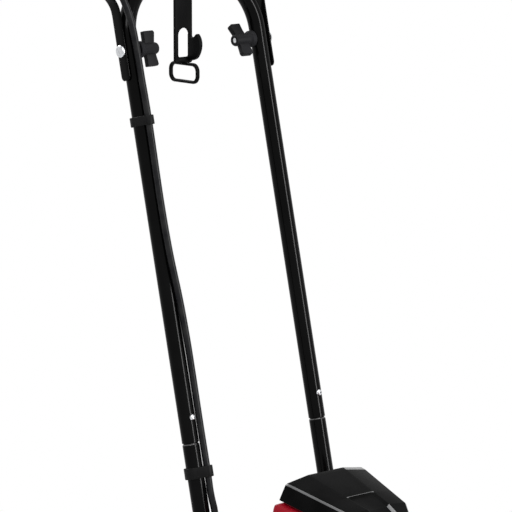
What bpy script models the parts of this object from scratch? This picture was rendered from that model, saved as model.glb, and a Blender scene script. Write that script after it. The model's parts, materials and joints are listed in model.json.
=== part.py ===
"""Corded electric garden tiller: red and black power unit on a gear leg, four tine rotors under a guard,
transport wheels on a swing bracket, and a three part tubular handle that folds at two wing knobs.

Units are metres, +Z is up, the machine drives towards -Y and the operator stands at +Y. The tine axis is
the natural reference line: places are given from it, and ASSEMBLY_SHIFT centres the whole machine on Y.
"""

import math

import bmesh
import bpy
from mathutils import Matrix, Vector

# General
GAP = 0.0003
ASSEMBLY_SHIFT = -0.1376

# Handle tubes
LEAN = math.radians(13.16)
TUBE_RADIUS = 0.011
TUBE_WALL = 0.0012
TRACK = 0.220
NECK_RADIUS = 0.0094
LEAD_RADIUS = 0.0045
LEAD_BORE = 0.0051
FOOT_Y = 0.1511
FOOT_Z = 0.236
SLEEVE_S = 0.2378
SLEEVE_BOLT_S = 0.2696
LOWER_TUBE_TOP = 0.305
PIVOT_S = 0.7425
ARCH_RADIUS = 0.078
ARCH_TOP_S = 0.8345
TUBE_BOLT_S = 0.024
CLIP_LOW_S = 0.200
CLIP_HIGH_S = 0.6512

# Upper handle, measured from its pivot
LEG_INNER_X = 0.1214
LEG_FLAT = 0.0036
LEG_FLAT_WIDTH = 0.0165
LEG_END = 0.038
HANDLE_HALF = 0.186
HANDLE_TOP = 0.280
GRIP_RADIUS = 0.0155
BAIL_AXIS_U = 0.212
BAIL_ARM = 0.050
BAIL_HALF = 0.143
BAIL_RADIUS = 0.004
BAIL_OPEN = math.radians(45)

# Switch box
BOX_X = (0.150, 0.206)
BOX_V = (-0.026, 0.030)
BOX_U = (0.174, 0.237)
BUTTON_U = 0.196
BUTTON_X = -0.178

# Power unit
TINE_Z = 0.100
PLATE_Z = 0.224
PLATE_THICK = 0.003
FLANGE_Z = (0.2273, 0.2335)
SHELL_BOTTOM = 0.2340
HOOD_REAR_Y = 0.0706
HOOD_REAR_TILT = 0.351
HOOD_REAR_RIM_Y = 0.0813
HOOD_FRONT_Y = -0.0545
HOOD_BREAK_Y = -0.0244
HOOD_HALF = 0.0669
HOOD_Z = 0.4312
HOOD_TAPER = 0.188
HOOD_SLOPE = 0.264
HOOD_BAND = 0.025
RIDGE_HALF = 0.0302
RIDGE_TAPER = 0.113
RIDGE_Z = 0.437
RIDGE_SLOPE = 0.298
PANEL_Y = 0.0069
SHELL_WALL = 0.0025
MOTOR_Y = 0.00925
SHAFT_RADIUS = 0.004

# Gears
WORM_MODULE = 0.002
WORM_STARTS = 2
WORM_PITCH_RADIUS = 0.008
WHEEL_TEETH = 30
WORM_Y = 0.038
SPUR_MODULE = 0.00125
GEAR_TEETH = 36
PINION_TEETH = 10
GEAR_Z = (0.199, 0.210)
PRESSURE_ANGLE = math.radians(20)

# Ground work
TINE_RADIUS = 0.100
TINE_SHAFT_RADIUS = 0.010
TINE_SHAFT_HALF = 0.197
ROTOR_SPAN = 0.080
ROTOR_STARTS = (0.0320, 0.1125)
BLADE_REACH = 0.031
BLADE_THICK = 0.004
GUARD_RADIUS = 0.115
GUARD_WALL = 0.003
GUARD_HALF = 0.206

# Transport wheels
WHEEL_RADIUS = 0.075
WHEEL_Y = 0.222
AXLE_RADIUS = 0.006
BRACKET_PIVOT_Y = 0.150
BRACKET_PIVOT_Z = 0.203
BRACKET_ARM_X = 0.0700
CHEEK_X = 0.0665
LOCK_REACH = 0.038
WHEEL_X = 0.0980
WHEEL_HALF_WIDTH = 0.019

# Cable hook on the arch
HOOK_X = 0.0005

PARTS = None
TOOLS = None
MATERIALS = {}


# Scene and object helpers


def clear_scene():
    for item in list(bpy.data.objects):
        bpy.data.objects.remove(item, do_unlink=True)


def new_collection(name):
    collection = bpy.data.collections.new(name)
    bpy.context.scene.collection.children.link(collection)
    return collection


def new_material(name, color, roughness, metallic=0.0):
    material = bpy.data.materials.new(name)
    material.use_nodes = True
    shader = material.node_tree.nodes["Principled BSDF"]
    shader.inputs["Base Color"].default_value = (*color, 1.0)
    shader.inputs["Roughness"].default_value = roughness
    shader.inputs["Metallic"].default_value = metallic
    material.diffuse_color = (*color, 1.0)
    MATERIALS[name] = material


def make_materials():
    new_material("black_paint", (0.010, 0.010, 0.011), 0.25, 0.0)
    new_material("black_plastic", (0.017, 0.018, 0.019), 0.45)
    new_material("knob_plastic", (0.055, 0.056, 0.058), 0.60)
    new_material("red_plastic", (0.200, 0.006, 0.012), 0.35)
    new_material("grey_steel", (0.22, 0.22, 0.23), 0.40, 1.0)
    new_material("zinc", (0.62, 0.63, 0.65), 0.30, 1.0)
    new_material("cast_alloy", (0.45, 0.46, 0.47), 0.50, 1.0)
    new_material("bronze", (0.48, 0.30, 0.12), 0.35, 1.0)
    new_material("lamination", (0.25, 0.25, 0.26), 0.45, 1.0)
    new_material("foam", (0.014, 0.014, 0.014), 0.95)
    new_material("rubber", (0.012, 0.012, 0.012), 0.80)
    new_material("carbon", (0.03, 0.03, 0.03), 0.70)
    new_material("cable", (0.012, 0.012, 0.012), 0.55)


def add_empty(name, location=(0, 0, 0), rotation=(0, 0, 0), parent=None):
    empty = bpy.data.objects.new(name, None)
    empty.empty_display_size = 0.03
    empty.location = location
    empty.rotation_euler = rotation
    empty.parent = parent
    PARTS.objects.link(empty)
    return empty


def add_part(name, mesh, material, parent, location=(0, 0, 0)):
    """A named solid whose mesh is in its parent's frame, apart from the location."""
    part = bpy.data.objects.new(name, mesh)
    mesh.name = name
    mesh.materials.clear()
    mesh.materials.append(MATERIALS[material])
    mesh.shade_smooth()
    mesh.set_sharp_from_angle(angle=math.radians(32))
    part.location = location
    part.parent = parent
    PARTS.objects.link(part)
    return part


def combine(part, mesh, operation):
    """Boolean with a helper whose mesh is in the same frame as the part's own."""
    helper = bpy.data.objects.new(f"{part.name}_{operation.lower()}", mesh)
    helper.location = part.location
    helper.parent = part.parent
    helper.hide_render = True
    helper.display_type = "WIRE"
    TOOLS.objects.link(helper)
    modifier = part.modifiers.new(operation.title(), "BOOLEAN")
    modifier.operation = operation
    modifier.solver = "EXACT"
    modifier.object = helper


def cut(part, *meshes):
    for mesh in meshes:
        combine(part, mesh, "DIFFERENCE")


def fuse(part, *meshes):
    for mesh in meshes:
        combine(part, mesh, "UNION")


# Mesh builders


def mesh_of(builder, name="shape"):
    bmesh.ops.recalc_face_normals(builder, faces=builder.faces)
    mesh = bpy.data.meshes.new(name)
    builder.to_mesh(mesh)
    builder.free()
    return mesh


def block(size, centre, bevel=0.0):
    builder = bmesh.new()
    bmesh.ops.create_cube(builder, size=1.0)
    bmesh.ops.scale(builder, vec=size, verts=builder.verts)
    if bevel:
        bmesh.ops.bevel(builder, geom=builder.edges[:], offset=bevel, segments=1, affect="EDGES")
    bmesh.ops.translate(builder, vec=centre, verts=builder.verts)
    return mesh_of(builder)


def along(start, end):
    """The matrix that carries a unit Z cylinder's middle and direction onto a segment, and its length."""
    start, end = Vector(start), Vector(end)
    turn = (end - start).to_track_quat("Z", "Y").to_matrix().to_4x4()
    return Matrix.Translation((start + end) / 2) @ turn, (end - start).length


def rod(radius, start, end, sides=16, end_radius=None):
    matrix, length = along(start, end)
    builder = bmesh.new()
    bmesh.ops.create_cone(
        builder,
        cap_ends=True,
        segments=sides,
        radius1=radius,
        radius2=radius if end_radius is None else end_radius,
        depth=length,
        matrix=matrix,
    )
    return mesh_of(builder)


def turned(profile, sides, start=(0, 0, 0), axis=(0, 0, 1)):
    """A solid of revolution. The profile is a closed loop of (radius, height) or runs from axis to axis."""
    on_axis = profile[0][0] == 0
    builder = bmesh.new()
    rings = []
    for radius, height in profile:
        if radius == 0:
            rings.append([builder.verts.new((0, 0, height))])
            continue
        rings.append(
            [
                builder.verts.new((radius * math.cos(a), radius * math.sin(a), height))
                for a in (2 * math.pi * k / sides for k in range(sides))
            ]
        )
    pairs = list(zip(rings, rings[1:]))
    if not on_axis:
        pairs.append((rings[-1], rings[0]))
    for first, second in pairs:
        for k in range(sides):
            n = (k + 1) % sides
            corners = [
                first[k % len(first)],
                first[n % len(first)],
                second[n % len(second)],
                second[k % len(second)],
            ]
            builder.faces.new(list(dict.fromkeys(corners)))
    matrix, _ = along(start, Vector(start) + Vector(axis))
    shift = Matrix.Translation(Vector(start)) @ matrix.to_3x3().to_4x4()
    bmesh.ops.transform(builder, matrix=shift, verts=builder.verts)
    return mesh_of(builder)


def ring(outer, inner, low, high, sides=20, start=(0, 0, 0), axis=(0, 0, 1), chamfer=0.0):
    profile = [
        (outer, high - chamfer),
        (outer, low + chamfer),
        (outer - chamfer, low),
        (inner, low),
        (inner, high),
        (outer - chamfer, high),
    ]
    if not chamfer:
        profile = [(outer, high), (outer, low), (inner, low), (inner, high)]
    return turned(profile, sides, start, axis)


PLANES = {
    "XY": Matrix(((1, 0, 0, 0), (0, 1, 0, 0), (0, 0, 1, 0), (0, 0, 0, 1))),
    "YZ": Matrix(((0, 0, 1, 0), (1, 0, 0, 0), (0, 1, 0, 0), (0, 0, 0, 1))),
    "XZ": Matrix(((1, 0, 0, 0), (0, 0, -1, 0), (0, 1, 0, 0), (0, 0, 0, 1))),
}


def evaluated_mesh(item):
    """The modelled shape of a curve as a mesh, its caps welded to its sides; the curve is removed."""
    bpy.context.view_layer.update()
    graph = bpy.context.evaluated_depsgraph_get()
    mesh = bpy.data.meshes.new_from_object(item.evaluated_get(graph))
    builder = bmesh.new()
    builder.from_mesh(mesh)
    bmesh.ops.remove_doubles(builder, verts=builder.verts, dist=1e-6)
    bpy.data.meshes.remove(mesh)
    bpy.data.objects.remove(item, do_unlink=True)
    return builder


def slab(outlines, thickness, plane="XY", offset=0.0):
    """A flat outline with holes, extruded by thickness about an offset along the plane's normal."""
    curve = bpy.data.curves.new("outline", "CURVE")
    curve.dimensions = "2D"
    curve.fill_mode = "BOTH"
    curve.extrude = thickness / 2
    for outline in outlines:
        spline = curve.splines.new("POLY")
        spline.points.add(len(outline) - 1)
        for point, (x, y) in zip(spline.points, outline):
            point.co = (x, y, 0, 1)
        spline.use_cyclic_u = True
    item = bpy.data.objects.new("outline", curve)
    bpy.context.scene.collection.objects.link(item)
    builder = evaluated_mesh(item)
    matrix = PLANES[plane] @ Matrix.Translation((0, 0, offset))
    bmesh.ops.transform(builder, matrix=matrix, verts=builder.verts)
    return mesh_of(builder)


def circle(radius, centre=(0, 0), sides=16, start=0.0, sweep=2 * math.pi):
    """Points of a circle, or of an arc with both ends when the sweep is less than a full turn."""
    whole = abs(sweep - 2 * math.pi) < 1e-9
    steps = sides if whole else sides - 1
    angles = [start + sweep * k / steps for k in range(sides)]
    return [(centre[0] + radius * math.cos(a), centre[1] + radius * math.sin(a)) for a in angles]


def tube_mesh(points, radius, resolution=4, wall=0.0):
    """A round bar along a polyline, or with a wall an open ended pipe."""
    curve = bpy.data.curves.new("tube", "CURVE")
    curve.dimensions = "3D"
    curve.bevel_depth = radius
    curve.bevel_resolution = resolution
    curve.use_fill_caps = not wall
    spline = curve.splines.new("POLY")
    spline.points.add(len(points) - 1)
    for point, co in zip(spline.points, points):
        point.co = (*co, 1)
    item = bpy.data.objects.new("tube", curve)
    bpy.context.scene.collection.objects.link(item)
    if wall:
        shell = item.modifiers.new("Wall", "SOLIDIFY")
        shell.thickness = wall
        shell.offset = -1
    return mesh_of(evaluated_mesh(item))


def rounded(points, radii, step=math.radians(22)):
    """A polyline whose inner corners are arcs of the given radii."""
    points = [Vector(p) for p in points]
    path = [points[0]]
    for before, corner, after, radius in zip(points, points[1:], points[2:], radii):
        u = (before - corner).normalized()
        v = (after - corner).normalized()
        half = u.angle(v) / 2
        centre = corner + (u + v).normalized() * (radius / math.sin(half))
        first = corner + u * (radius / math.tan(half)) - centre
        last = corner + v * (radius / math.tan(half)) - centre
        bend = first.angle(last)
        steps = max(2, math.ceil(bend / step))
        for k in range(steps + 1):
            t = k / steps
            blend = (first * math.sin((1 - t) * bend) + last * math.sin(t * bend)) / math.sin(bend)
            path.append(centre + blend)
    path.append(points[-1])
    return path


def smooth_route(points, spacing):
    """Points at about equal spacing along a Catmull-Rom curve through the route's own points."""
    points = [Vector(p) for p in points]
    ends = [2 * points[0] - points[1]] + points + [2 * points[-1] - points[-2]]
    path = []
    for a, b, c, d in zip(ends, ends[1:], ends[2:], ends[3:]):
        steps = max(1, round((c - b).length / spacing))
        for k in range(steps):
            t = k / steps
            path.append(
                0.5
                * (2 * b + (c - a) * t + (2 * a - 5 * b + 4 * c - d) * t**2 + (3 * b - a - 3 * c + d) * t**3)
            )
    path.append(points[-1])
    return path


def loft(sections, closed=True, caps=True):
    """Faces between sections with like point counts, and flat ends."""
    builder = bmesh.new()
    rows = [[builder.verts.new(p) for p in section] for section in sections]
    for first, second in zip(rows, rows[1:]):
        count = len(first)
        for k in range(count if closed else count - 1):
            n = (k + 1) % count
            builder.faces.new((first[k], first[n], second[n], second[k]))
    if caps:
        builder.faces.new(rows[0])
        builder.faces.new(rows[-1])
    return mesh_of(builder)


def mirrored_x(points):
    return [(-x, y) for x, y in reversed(points)]


def tube_point(x, v, s):
    """A point beside the leaning handle tubes, in the assembly's frame."""
    y = FOOT_Y + v * math.cos(LEAN) + s * math.sin(LEAN)
    z = FOOT_Z - v * math.sin(LEAN) + s * math.cos(LEAN)
    return (x, y, z)


def side_name(side):
    """Sides are the operator's: the right hand is at -X."""
    return "right" if side < 0 else "left"


# Handle tubes and their fasteners


def build_lower_tubes(tubes):
    """Tubes of the same size as the middle frame, necked down at the top to fit into its ends."""
    shoulder = SLEEVE_S - 0.0004
    profile = [
        (TUBE_RADIUS, 0),
        (TUBE_RADIUS, shoulder - 0.0016),
        (NECK_RADIUS, shoulder),
        (NECK_RADIUS, LOWER_TUBE_TOP),
        (NECK_RADIUS - TUBE_WALL, LOWER_TUBE_TOP),
        (NECK_RADIUS - TUBE_WALL, shoulder - 0.0010),
        (TUBE_RADIUS - TUBE_WALL, shoulder - 0.0026),
        (TUBE_RADIUS - TUBE_WALL, 0),
    ]
    for side in (-1, 1):
        x = side * TRACK / 2
        part = add_part(
            f"lower_tube_{side_name(side)}",
            turned(profile, 12, (x, 0, 0), (0, 0, 1)),
            "black_paint",
            tubes,
        )
        cut(
            part,
            rod(0.0043, (x - 0.02, 0, TUBE_BOLT_S), (x + 0.02, 0, TUBE_BOLT_S), 10),
            rod(0.0029, (x, -0.02, SLEEVE_BOLT_S), (x, 0.02, SLEEVE_BOLT_S), 10),
        )


def build_middle_frame(tubes):
    half = TRACK / 2
    corners = [
        (-half, 0, SLEEVE_S),
        (-half, 0, ARCH_TOP_S),
        (half, 0, ARCH_TOP_S),
        (half, 0, SLEEVE_S),
    ]
    path = rounded(corners, (ARCH_RADIUS, ARCH_RADIUS), math.radians(22.5))
    part = add_part("middle_frame", tube_mesh(path, TUBE_RADIUS, wall=TUBE_WALL), "black_paint", tubes)
    for x in (-half, half):
        cut(
            part,
            rod(0.0043, (x - 0.02, 0, PIVOT_S), (x + 0.02, 0, PIVOT_S), 10),
            rod(0.0029, (x, -0.02, SLEEVE_BOLT_S), (x, 0.02, SLEEVE_BOLT_S), 10),
        )


def build_sleeve_bolts(tubes):
    """Zinc screws from the front that hold the middle frame on the lower tubes."""
    for side in (-1, 1):
        profile = [
            (0, 0.0032),
            (0.0026, 0.0027),
            (0.0042, 0.0010),
            (0.0042, 0),
            (0.0025, 0),
            (0.0025, -0.0222),
            (0.0012, -0.0234),
            (0, -0.0234),
        ]
        start = (side * TRACK / 2, -TUBE_RADIUS - GAP, SLEEVE_BOLT_S)
        add_part(
            f"sleeve_bolt_{side_name(side)}",
            turned(profile, 10, start, (0, -1, 0)),
            "zinc",
            tubes,
        )


def build_fold_bolts(tubes):
    """Round headed bolts through the handle legs and the middle frame, one for each wing knob."""
    head = -(LEG_INNER_X + LEG_FLAT + GAP)
    for side in (-1, 1):
        profile = [
            (0, 0.0042),
            (0.0045, 0.0036),
            (0.0074, 0.0018),
            (0.0080, 0),
            (0.0039, 0),
            (0.0039, -0.0575),
            (0, -0.0575),
        ]
        start = (-side * head, 0, PIVOT_S)
        add_part(
            f"fold_bolt_{side_name(side)}",
            turned(profile, 14, start, (side, 0, 0)),
            "zinc",
            tubes,
        )


def build_wing_knob(side, pivot):
    """A hub with two flared wings. The frame is on the bolt's axis at the tube's inner face."""
    hub = [
        (0.0110, 0.0004),
        (0.0110, 0.0060),
        (0.0085, 0.0090),
        (0.0078, 0.0300),
        (0.0060, 0.0325),
        (0.0043, 0.0325),
        (0.0043, 0.0004),
    ]
    hub.reverse()
    part = add_part(
        f"wing_knob_{side_name(side)}",
        turned(hub, 14, (0, 0, 0), (-side, 0, 0)),
        "knob_plastic",
        pivot,
    )
    wing = [
        (0.0100, 0.0055),
        (0.0110, 0.0190),
        (0.0085, 0.0215),
        (0.0080, 0.0230),
        (0.0285, 0.0230),
        (0.0305, 0.0205),
        (0.0270, 0.0055),
    ]
    for direction in (1, -1):
        outline = [(-side * x, direction * z) for x, z in wing]
        fuse(part, slab([outline], 0.0085, "XZ"))


# Upper handle


def leg_section(x, u, tangent, half_thick, half_wide, count=12):
    """An oval section across the leg at (x, u). The tangent is the leg's direction in the XZ plane."""
    normal = Vector((tangent[1], 0, -tangent[0]))
    points = []
    for k in range(count):
        a = 2 * math.pi * (k + 0.5) / count
        power = 0.5 + 0.5 * (half_thick / half_wide)
        across = math.copysign(abs(math.cos(a)) ** power, math.cos(a)) * half_thick
        wide = math.copysign(abs(math.sin(a)) ** power, math.sin(a)) * half_wide
        points.append(Vector((x, 0, u)) + normal * across + Vector((0, wide, 0)))
    return points


def handle_path():
    """Stations (x, u, half thickness, half width) of the right half, from the flat end to the top's middle.

    The leg is a flat bar beside the middle frame, bends outwards above it and swells to the round tube.
    """
    flat_x = LEG_INNER_X + LEG_FLAT / 2
    thick, wide = LEG_FLAT / 2, LEG_FLAT_WIDTH / 2
    stations = [
        (flat_x, -LEG_END, thick, wide - 0.0025),
        (flat_x, -LEG_END + 0.004, thick, wide),
        (flat_x, 0.018, thick, wide),
        (flat_x, 0.048, thick, wide),
        (flat_x + 0.0013, 0.0560, thick, wide),
        (flat_x + 0.0060, 0.0660, 0.0022, wide),
        (flat_x + 0.0135, 0.0780, 0.0052, 0.0092),
        (flat_x + 0.0197, 0.0880, 0.0090, 0.0105),
    ]
    bend = rounded(
        [(0.1479, 0, 0.0961), (HANDLE_HALF, 0, 0.158), (HANDLE_HALF, 0, HANDLE_TOP), (0, 0, HANDLE_TOP)],
        (0.040, 0.041),
        math.radians(24),
    )
    return stations + [(p.x, p.z, TUBE_RADIUS, TUBE_RADIUS) for p in bend]


def build_upper_handle(handle):
    right = handle_path()
    left = [(-x, u, thick, wide) for x, u, thick, wide in reversed(right[:-1])]
    stations = right + left
    sections = []
    for index, (x, u, thick, wide) in enumerate(stations):
        before = stations[max(index - 1, 0)]
        after = stations[min(index + 1, len(stations) - 1)]
        tangent = Vector((after[0] - before[0], after[1] - before[1])).normalized()
        sections.append(leg_section(x, u, tangent, thick, wide))
    mesh = loft(sections, caps=False)
    part = add_part("upper_handle", mesh, "black_paint", handle)
    shell = part.modifiers.new("Wall", "SOLIDIFY")
    shell.thickness = TUBE_WALL
    shell.offset = -1
    for side in (-1, 1):
        start = (side * (LEG_INNER_X - 0.01), 0, 0)
        end = (side * (LEG_INNER_X + 0.02), 0, 0)
        cut(part, rod(0.0043, start, end, 10))


def build_foam_grip(handle):
    half = 0.132
    inner = TUBE_RADIUS + GAP
    profile = [
        (GRIP_RADIUS, half - 0.003),
        (GRIP_RADIUS, -half + 0.003),
        (GRIP_RADIUS - 0.0025, -half),
        (inner, -half),
        (inner, half),
        (GRIP_RADIUS - 0.0025, half),
    ]
    add_part(
        "foam_grip",
        turned(profile, 14, (0, 0, HANDLE_TOP), (1, 0, 0)),
        "foam",
        handle,
    )


def build_switch_box(handle):
    """Two moulded shells clamped round the right leg, split on the plane of the handle."""
    x_low, x_high = -BOX_X[1], -BOX_X[0]
    spans = {"front": (BOX_V[0], -GAP / 2), "rear": (GAP / 2, BOX_V[1])}
    wall = 0.0025
    leg = (-HANDLE_HALF, 0, BOX_U[0] - 0.01), (-HANDLE_HALF, 0, BOX_U[1] + 0.01)
    bail = (-BOX_X[0] - 0.006, 0, BAIL_AXIS_U), (-BOX_X[0] + 0.006, 0, BAIL_AXIS_U)
    for name, (low, high) in spans.items():
        size = (x_high - x_low, high - low, BOX_U[1] - BOX_U[0])
        centre = ((x_low + x_high) / 2, (low + high) / 2, (BOX_U[0] + BOX_U[1]) / 2)
        part = add_part(f"switch_box_{name}", block(size, centre), "black_plastic", handle)
        outer = 1 if name == "rear" else -1
        rounding = part.modifiers.new("Corners", "BEVEL")
        rounding.width = 0.005
        rounding.segments = 2
        rounding.limit_method = "WEIGHT"
        weights = part.data.attributes.new("bevel_weight_edge", "FLOAT", "EDGE")
        for edge in part.data.edges:
            ends = [part.data.vertices[k].co for k in edge.vertices]
            split = all(abs(end.y) < 0.001 for end in ends)
            weights.data[edge.index].value = 0.0 if split else 1.0
        inner = (size[0] - 2 * wall, size[1] - wall + 0.002, size[2] - 2 * wall)
        shift = (centre[0], centre[1] - outer * (wall / 2 + 0.001), centre[2])
        cut(
            part,
            block(inner, shift),
            rod(TUBE_RADIUS + GAP, *leg, 16),
            rod(BAIL_RADIUS + GAP, *bail, 10),
        )
        if name == "rear":
            cut(part, rod(0.0075, (BUTTON_X, 0.020, BUTTON_U), (BUTTON_X, 0.04, BUTTON_U), 14))
        else:
            cut(part, rod(0.0150, (BUTTON_X, -0.018, 0.199), (BUTTON_X, -0.04, 0.199), 16))


def build_lock_off_button(button):
    """A stepped push button, its collar behind the wall of the rear shell. The frame is on its own axis."""
    profile = [
        (0, 0.0065),
        (0.0055, 0.0060),
        (0.0071, 0.0040),
        (0.0071, -0.0030),
        (0.0085, -0.0030),
        (0.0085, -0.0050),
        (0, -0.0050),
    ]
    add_part("lock_off_button", turned(profile, 14, (0, 0, 0), (0, 1, 0)), "red_plastic", button)


def build_switch_module(handle):
    """The snap switch that the bail's cam presses, on the inner side of the leg."""
    part = add_part(
        "switch_module",
        block((0.016, 0.015, 0.022), (-0.1640, 0.0160, 0.222)),
        "knob_plastic",
        handle,
    )
    fuse(part, block((0.005, 0.004, 0.006), (-0.1620, 0.0075, 0.216)))


def build_mains_inlet(handle):
    """A shrouded male inlet on the front of the switch box, with two flat pins."""
    start = (BUTTON_X, BOX_V[0] + 0.0085, 0.199)
    profile = [
        (0.0145, 0.0),
        (0.0145, 0.0087),
        (0.0175, 0.0087),
        (0.0175, 0.0330),
        (0.0145, 0.0330),
        (0.0145, 0.0110),
        (0, 0.0110),
    ]
    profile = [(0, 0.0)] + profile
    profile.reverse()
    part = add_part("mains_inlet", turned(profile, 16, start, (0, -1, 0)), "black_plastic", handle)
    for side in (-1, 1):
        x = BUTTON_X + side * 0.0065
        fuse(part, rod(0.0022, (x, start[1] - 0.0085, 0.199), (x, start[1] - 0.0265, 0.199), 8))


def build_lead_gland(handle):
    """The tapered strain relief where the motor lead leaves the switch box."""
    profile = [
        (0.0072, 0.0),
        (0.0072, 0.0030),
        (0.0068, 0.0030),
        (0.0060, 0.0220),
        (LEAD_BORE, 0.0220),
        (LEAD_BORE, 0.0),
    ]
    profile.reverse()
    add_part(
        "lead_gland",
        turned(profile, 12, (-0.1610, -0.0135, BOX_U[0] - GAP), (0, 0, -1)),
        "rubber",
        handle,
    )


def build_bail_clip(handle):
    """The clamp on the left leg that carries the other end of the bail."""
    outer = circle(0.015, (HANDLE_HALF, 0), 15, math.radians(-140), math.radians(280))
    outer += [(0.156, 0.008), (0.156, -0.008)]
    hole = circle(TUBE_RADIUS + GAP, (HANDLE_HALF, 0), 16)
    part = add_part("bail_clip", slab([outer, hole], 0.020, "XY", BAIL_AXIS_U), "black_plastic", handle)
    cut(part, rod(BAIL_RADIUS + GAP, (0.150, 0, BAIL_AXIS_U), (0.166, 0, BAIL_AXIS_U), 10))


def build_bail(pivot):
    """The switch bail: a bent bar from the box to the clamp. At rest it stands off the grip by BAIL_OPEN."""
    reach = Vector((0, -math.sin(BAIL_OPEN), math.cos(BAIL_OPEN))) * BAIL_ARM
    left_end = BOX_X[0] + 0.009
    corners = [
        Vector((-left_end, 0, 0)),
        Vector((-BAIL_HALF, 0, 0)),
        Vector((-BAIL_HALF, 0, 0)) + reach,
        Vector((BAIL_HALF, 0, 0)) + reach,
        Vector((BAIL_HALF, 0, 0)),
        Vector((left_end + 0.004, 0, 0)),
    ]
    path = rounded(corners, (0.006, 0.012, 0.012, 0.006), math.radians(35))
    add_part("bail_lever", tube_mesh(path, BAIL_RADIUS, 2), "black_paint", pivot)


def build_motor_lead(assembly):
    """The motor lead: out of the red housing, up the right hand tube through both clips, slack across the
    fold and up the handle's leg to the switch box."""
    beside_fold = (
        (-0.1112, -0.0157, -0.035),
        (-0.1128, -0.0170, 0.000),
        (-0.1180, -0.0195, 0.040),
        (-0.1310, -0.0200, 0.080),
        (-0.1460, -0.0188, 0.112),
        (-0.1560, -0.0160, 0.132),
        (-0.1603, -0.0140, 0.1435),
        (-0.1610, -0.0135, 0.1520),
        (-0.1610, -0.0135, 0.1620),
        (-0.1610, -0.0135, BOX_U[0] - 0.0010),
    )
    route = [
        (-0.0460, HOOD_REAR_RIM_Y + 0.0080, 0.300),
        (-0.0460, HOOD_REAR_RIM_Y + 0.0220, 0.300),
        (-0.0460, HOOD_REAR_RIM_Y + 0.0350, 0.300),
        (-0.0490, 0.1297, 0.3015),
        (-0.0640, 0.1450, 0.3190),
        tube_point(-0.0925, -0.0130, 0.120),
        tube_point(-0.0968, -0.0110, 0.152),
        tube_point(-0.0979, -0.0106, CLIP_LOW_S),
        tube_point(-0.0979, -0.0106, 0.262),
        tube_point(-0.0982, -0.0109, 0.330),
        tube_point(-0.1013, -0.0136, 0.372),
        tube_point(-0.1042, -0.0149, 0.420),
        tube_point(-0.1097, -0.0160, 0.483),
        tube_point(-0.1113, -0.0160, 0.550),
        tube_point(-0.1104, -0.0160, CLIP_HIGH_S),
    ]
    route += [tube_point(x, v, PIVOT_S + u) for x, v, u in beside_fold]
    path = smooth_route(route, 0.026)
    add_part("motor_lead", tube_mesh(path, LEAD_RADIUS, 2), "cable", assembly)


def build_clips(tubes):
    """Two moulded clips that hold the lead on the right hand tube."""
    places = {
        "cable_clip_lower": (CLIP_LOW_S, (0.0121, -0.0106), 0.012),
        "cable_clip_upper": (CLIP_HIGH_S, (-0.0004, -0.0160), 0.012),
    }
    radius = TUBE_RADIUS
    bore = LEAD_RADIUS + GAP
    for name, (s, cable, height) in places.items():
        centre = (-TRACK / 2, 0)
        cable = (centre[0] + cable[0], cable[1])
        direction = math.atan2(cable[1] - centre[1], cable[0] - centre[0])
        wall = 0.0030
        outline = circle(radius + wall, centre, 12, direction + math.pi / 2, math.pi)
        outline += circle(bore + 0.0022, cable, 8, direction - math.pi / 2, math.pi)
        holes = [
            circle(radius + GAP, centre, 16),
            circle(bore, cable, 12),
        ]
        part = add_part(name, slab([outline, *holes], height, "XY", s), "black_plastic", tubes)
        slit_x = centre[0] - math.cos(direction) * (radius + 0.002)
        slit_y = centre[1] - math.sin(direction) * (radius + 0.002)
        cut(part, rod(0.0012, (slit_x, slit_y, s - 0.02), (slit_x, slit_y, s + 0.02), 8))


# Cable hook


def build_cable_hook(pivot):
    """The strain relief that swings on the arch: an eye, a slotted strap, a nose and a cord ring."""
    eye = ring(0.0158, 0.0114, -0.0065, 0.0065, 18, axis=(1, 0, 0))
    part = add_part("cable_hook", eye, "black_plastic", pivot, (HOOK_X, 0, 0))
    strap = [
        (-0.0147, -0.0125),
        (-0.0147, -0.1155),
        (0.0147, -0.1155),
        (0.0147, -0.0125),
    ]
    slot = circle(0.0095, (0.0005, -0.0790), 9, 0.0, math.pi) + [(-0.0090, -0.1075), (0.0100, -0.1075)]
    nose = [
        (0.0000, -0.0780),
        (-0.0060, -0.0820),
        (-0.0120, -0.0810),
        (-0.0170, -0.0770),
        (-0.0215, -0.0810),
        (-0.0240, -0.0880),
        (-0.0235, -0.0960),
        (-0.0200, -0.1040),
        (-0.0140, -0.1100),
        (0.0000, -0.1140),
    ]
    y_low, y_high = -0.0310, 0.0260
    z_low, z_high = -0.1410, -0.1140
    outer = rounded_rectangle(y_low, y_high, z_low, z_high, 0.006)
    inner = rounded_rectangle(y_low + 0.004, y_high - 0.004, z_low + 0.004, z_high - 0.004, 0.003)
    fuse(
        part,
        slab([strap, slot], 0.0044, "XZ"),
        slab([nose], 0.0060, "YZ", 0.0105),
        slab([outer, inner], 0.0055, "YZ"),
    )


def rounded_rectangle(x_low, x_high, y_low, y_high, radius):
    corners = ((x_high - radius, y_high - radius), (x_low + radius, y_high - radius))
    corners += ((x_low + radius, y_low + radius), (x_high - radius, y_low + radius))
    points = []
    for k, corner in enumerate(corners):
        points += circle(radius, corner, 4, k * math.pi / 2, math.pi / 2)
    return points


# Chassis


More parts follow.
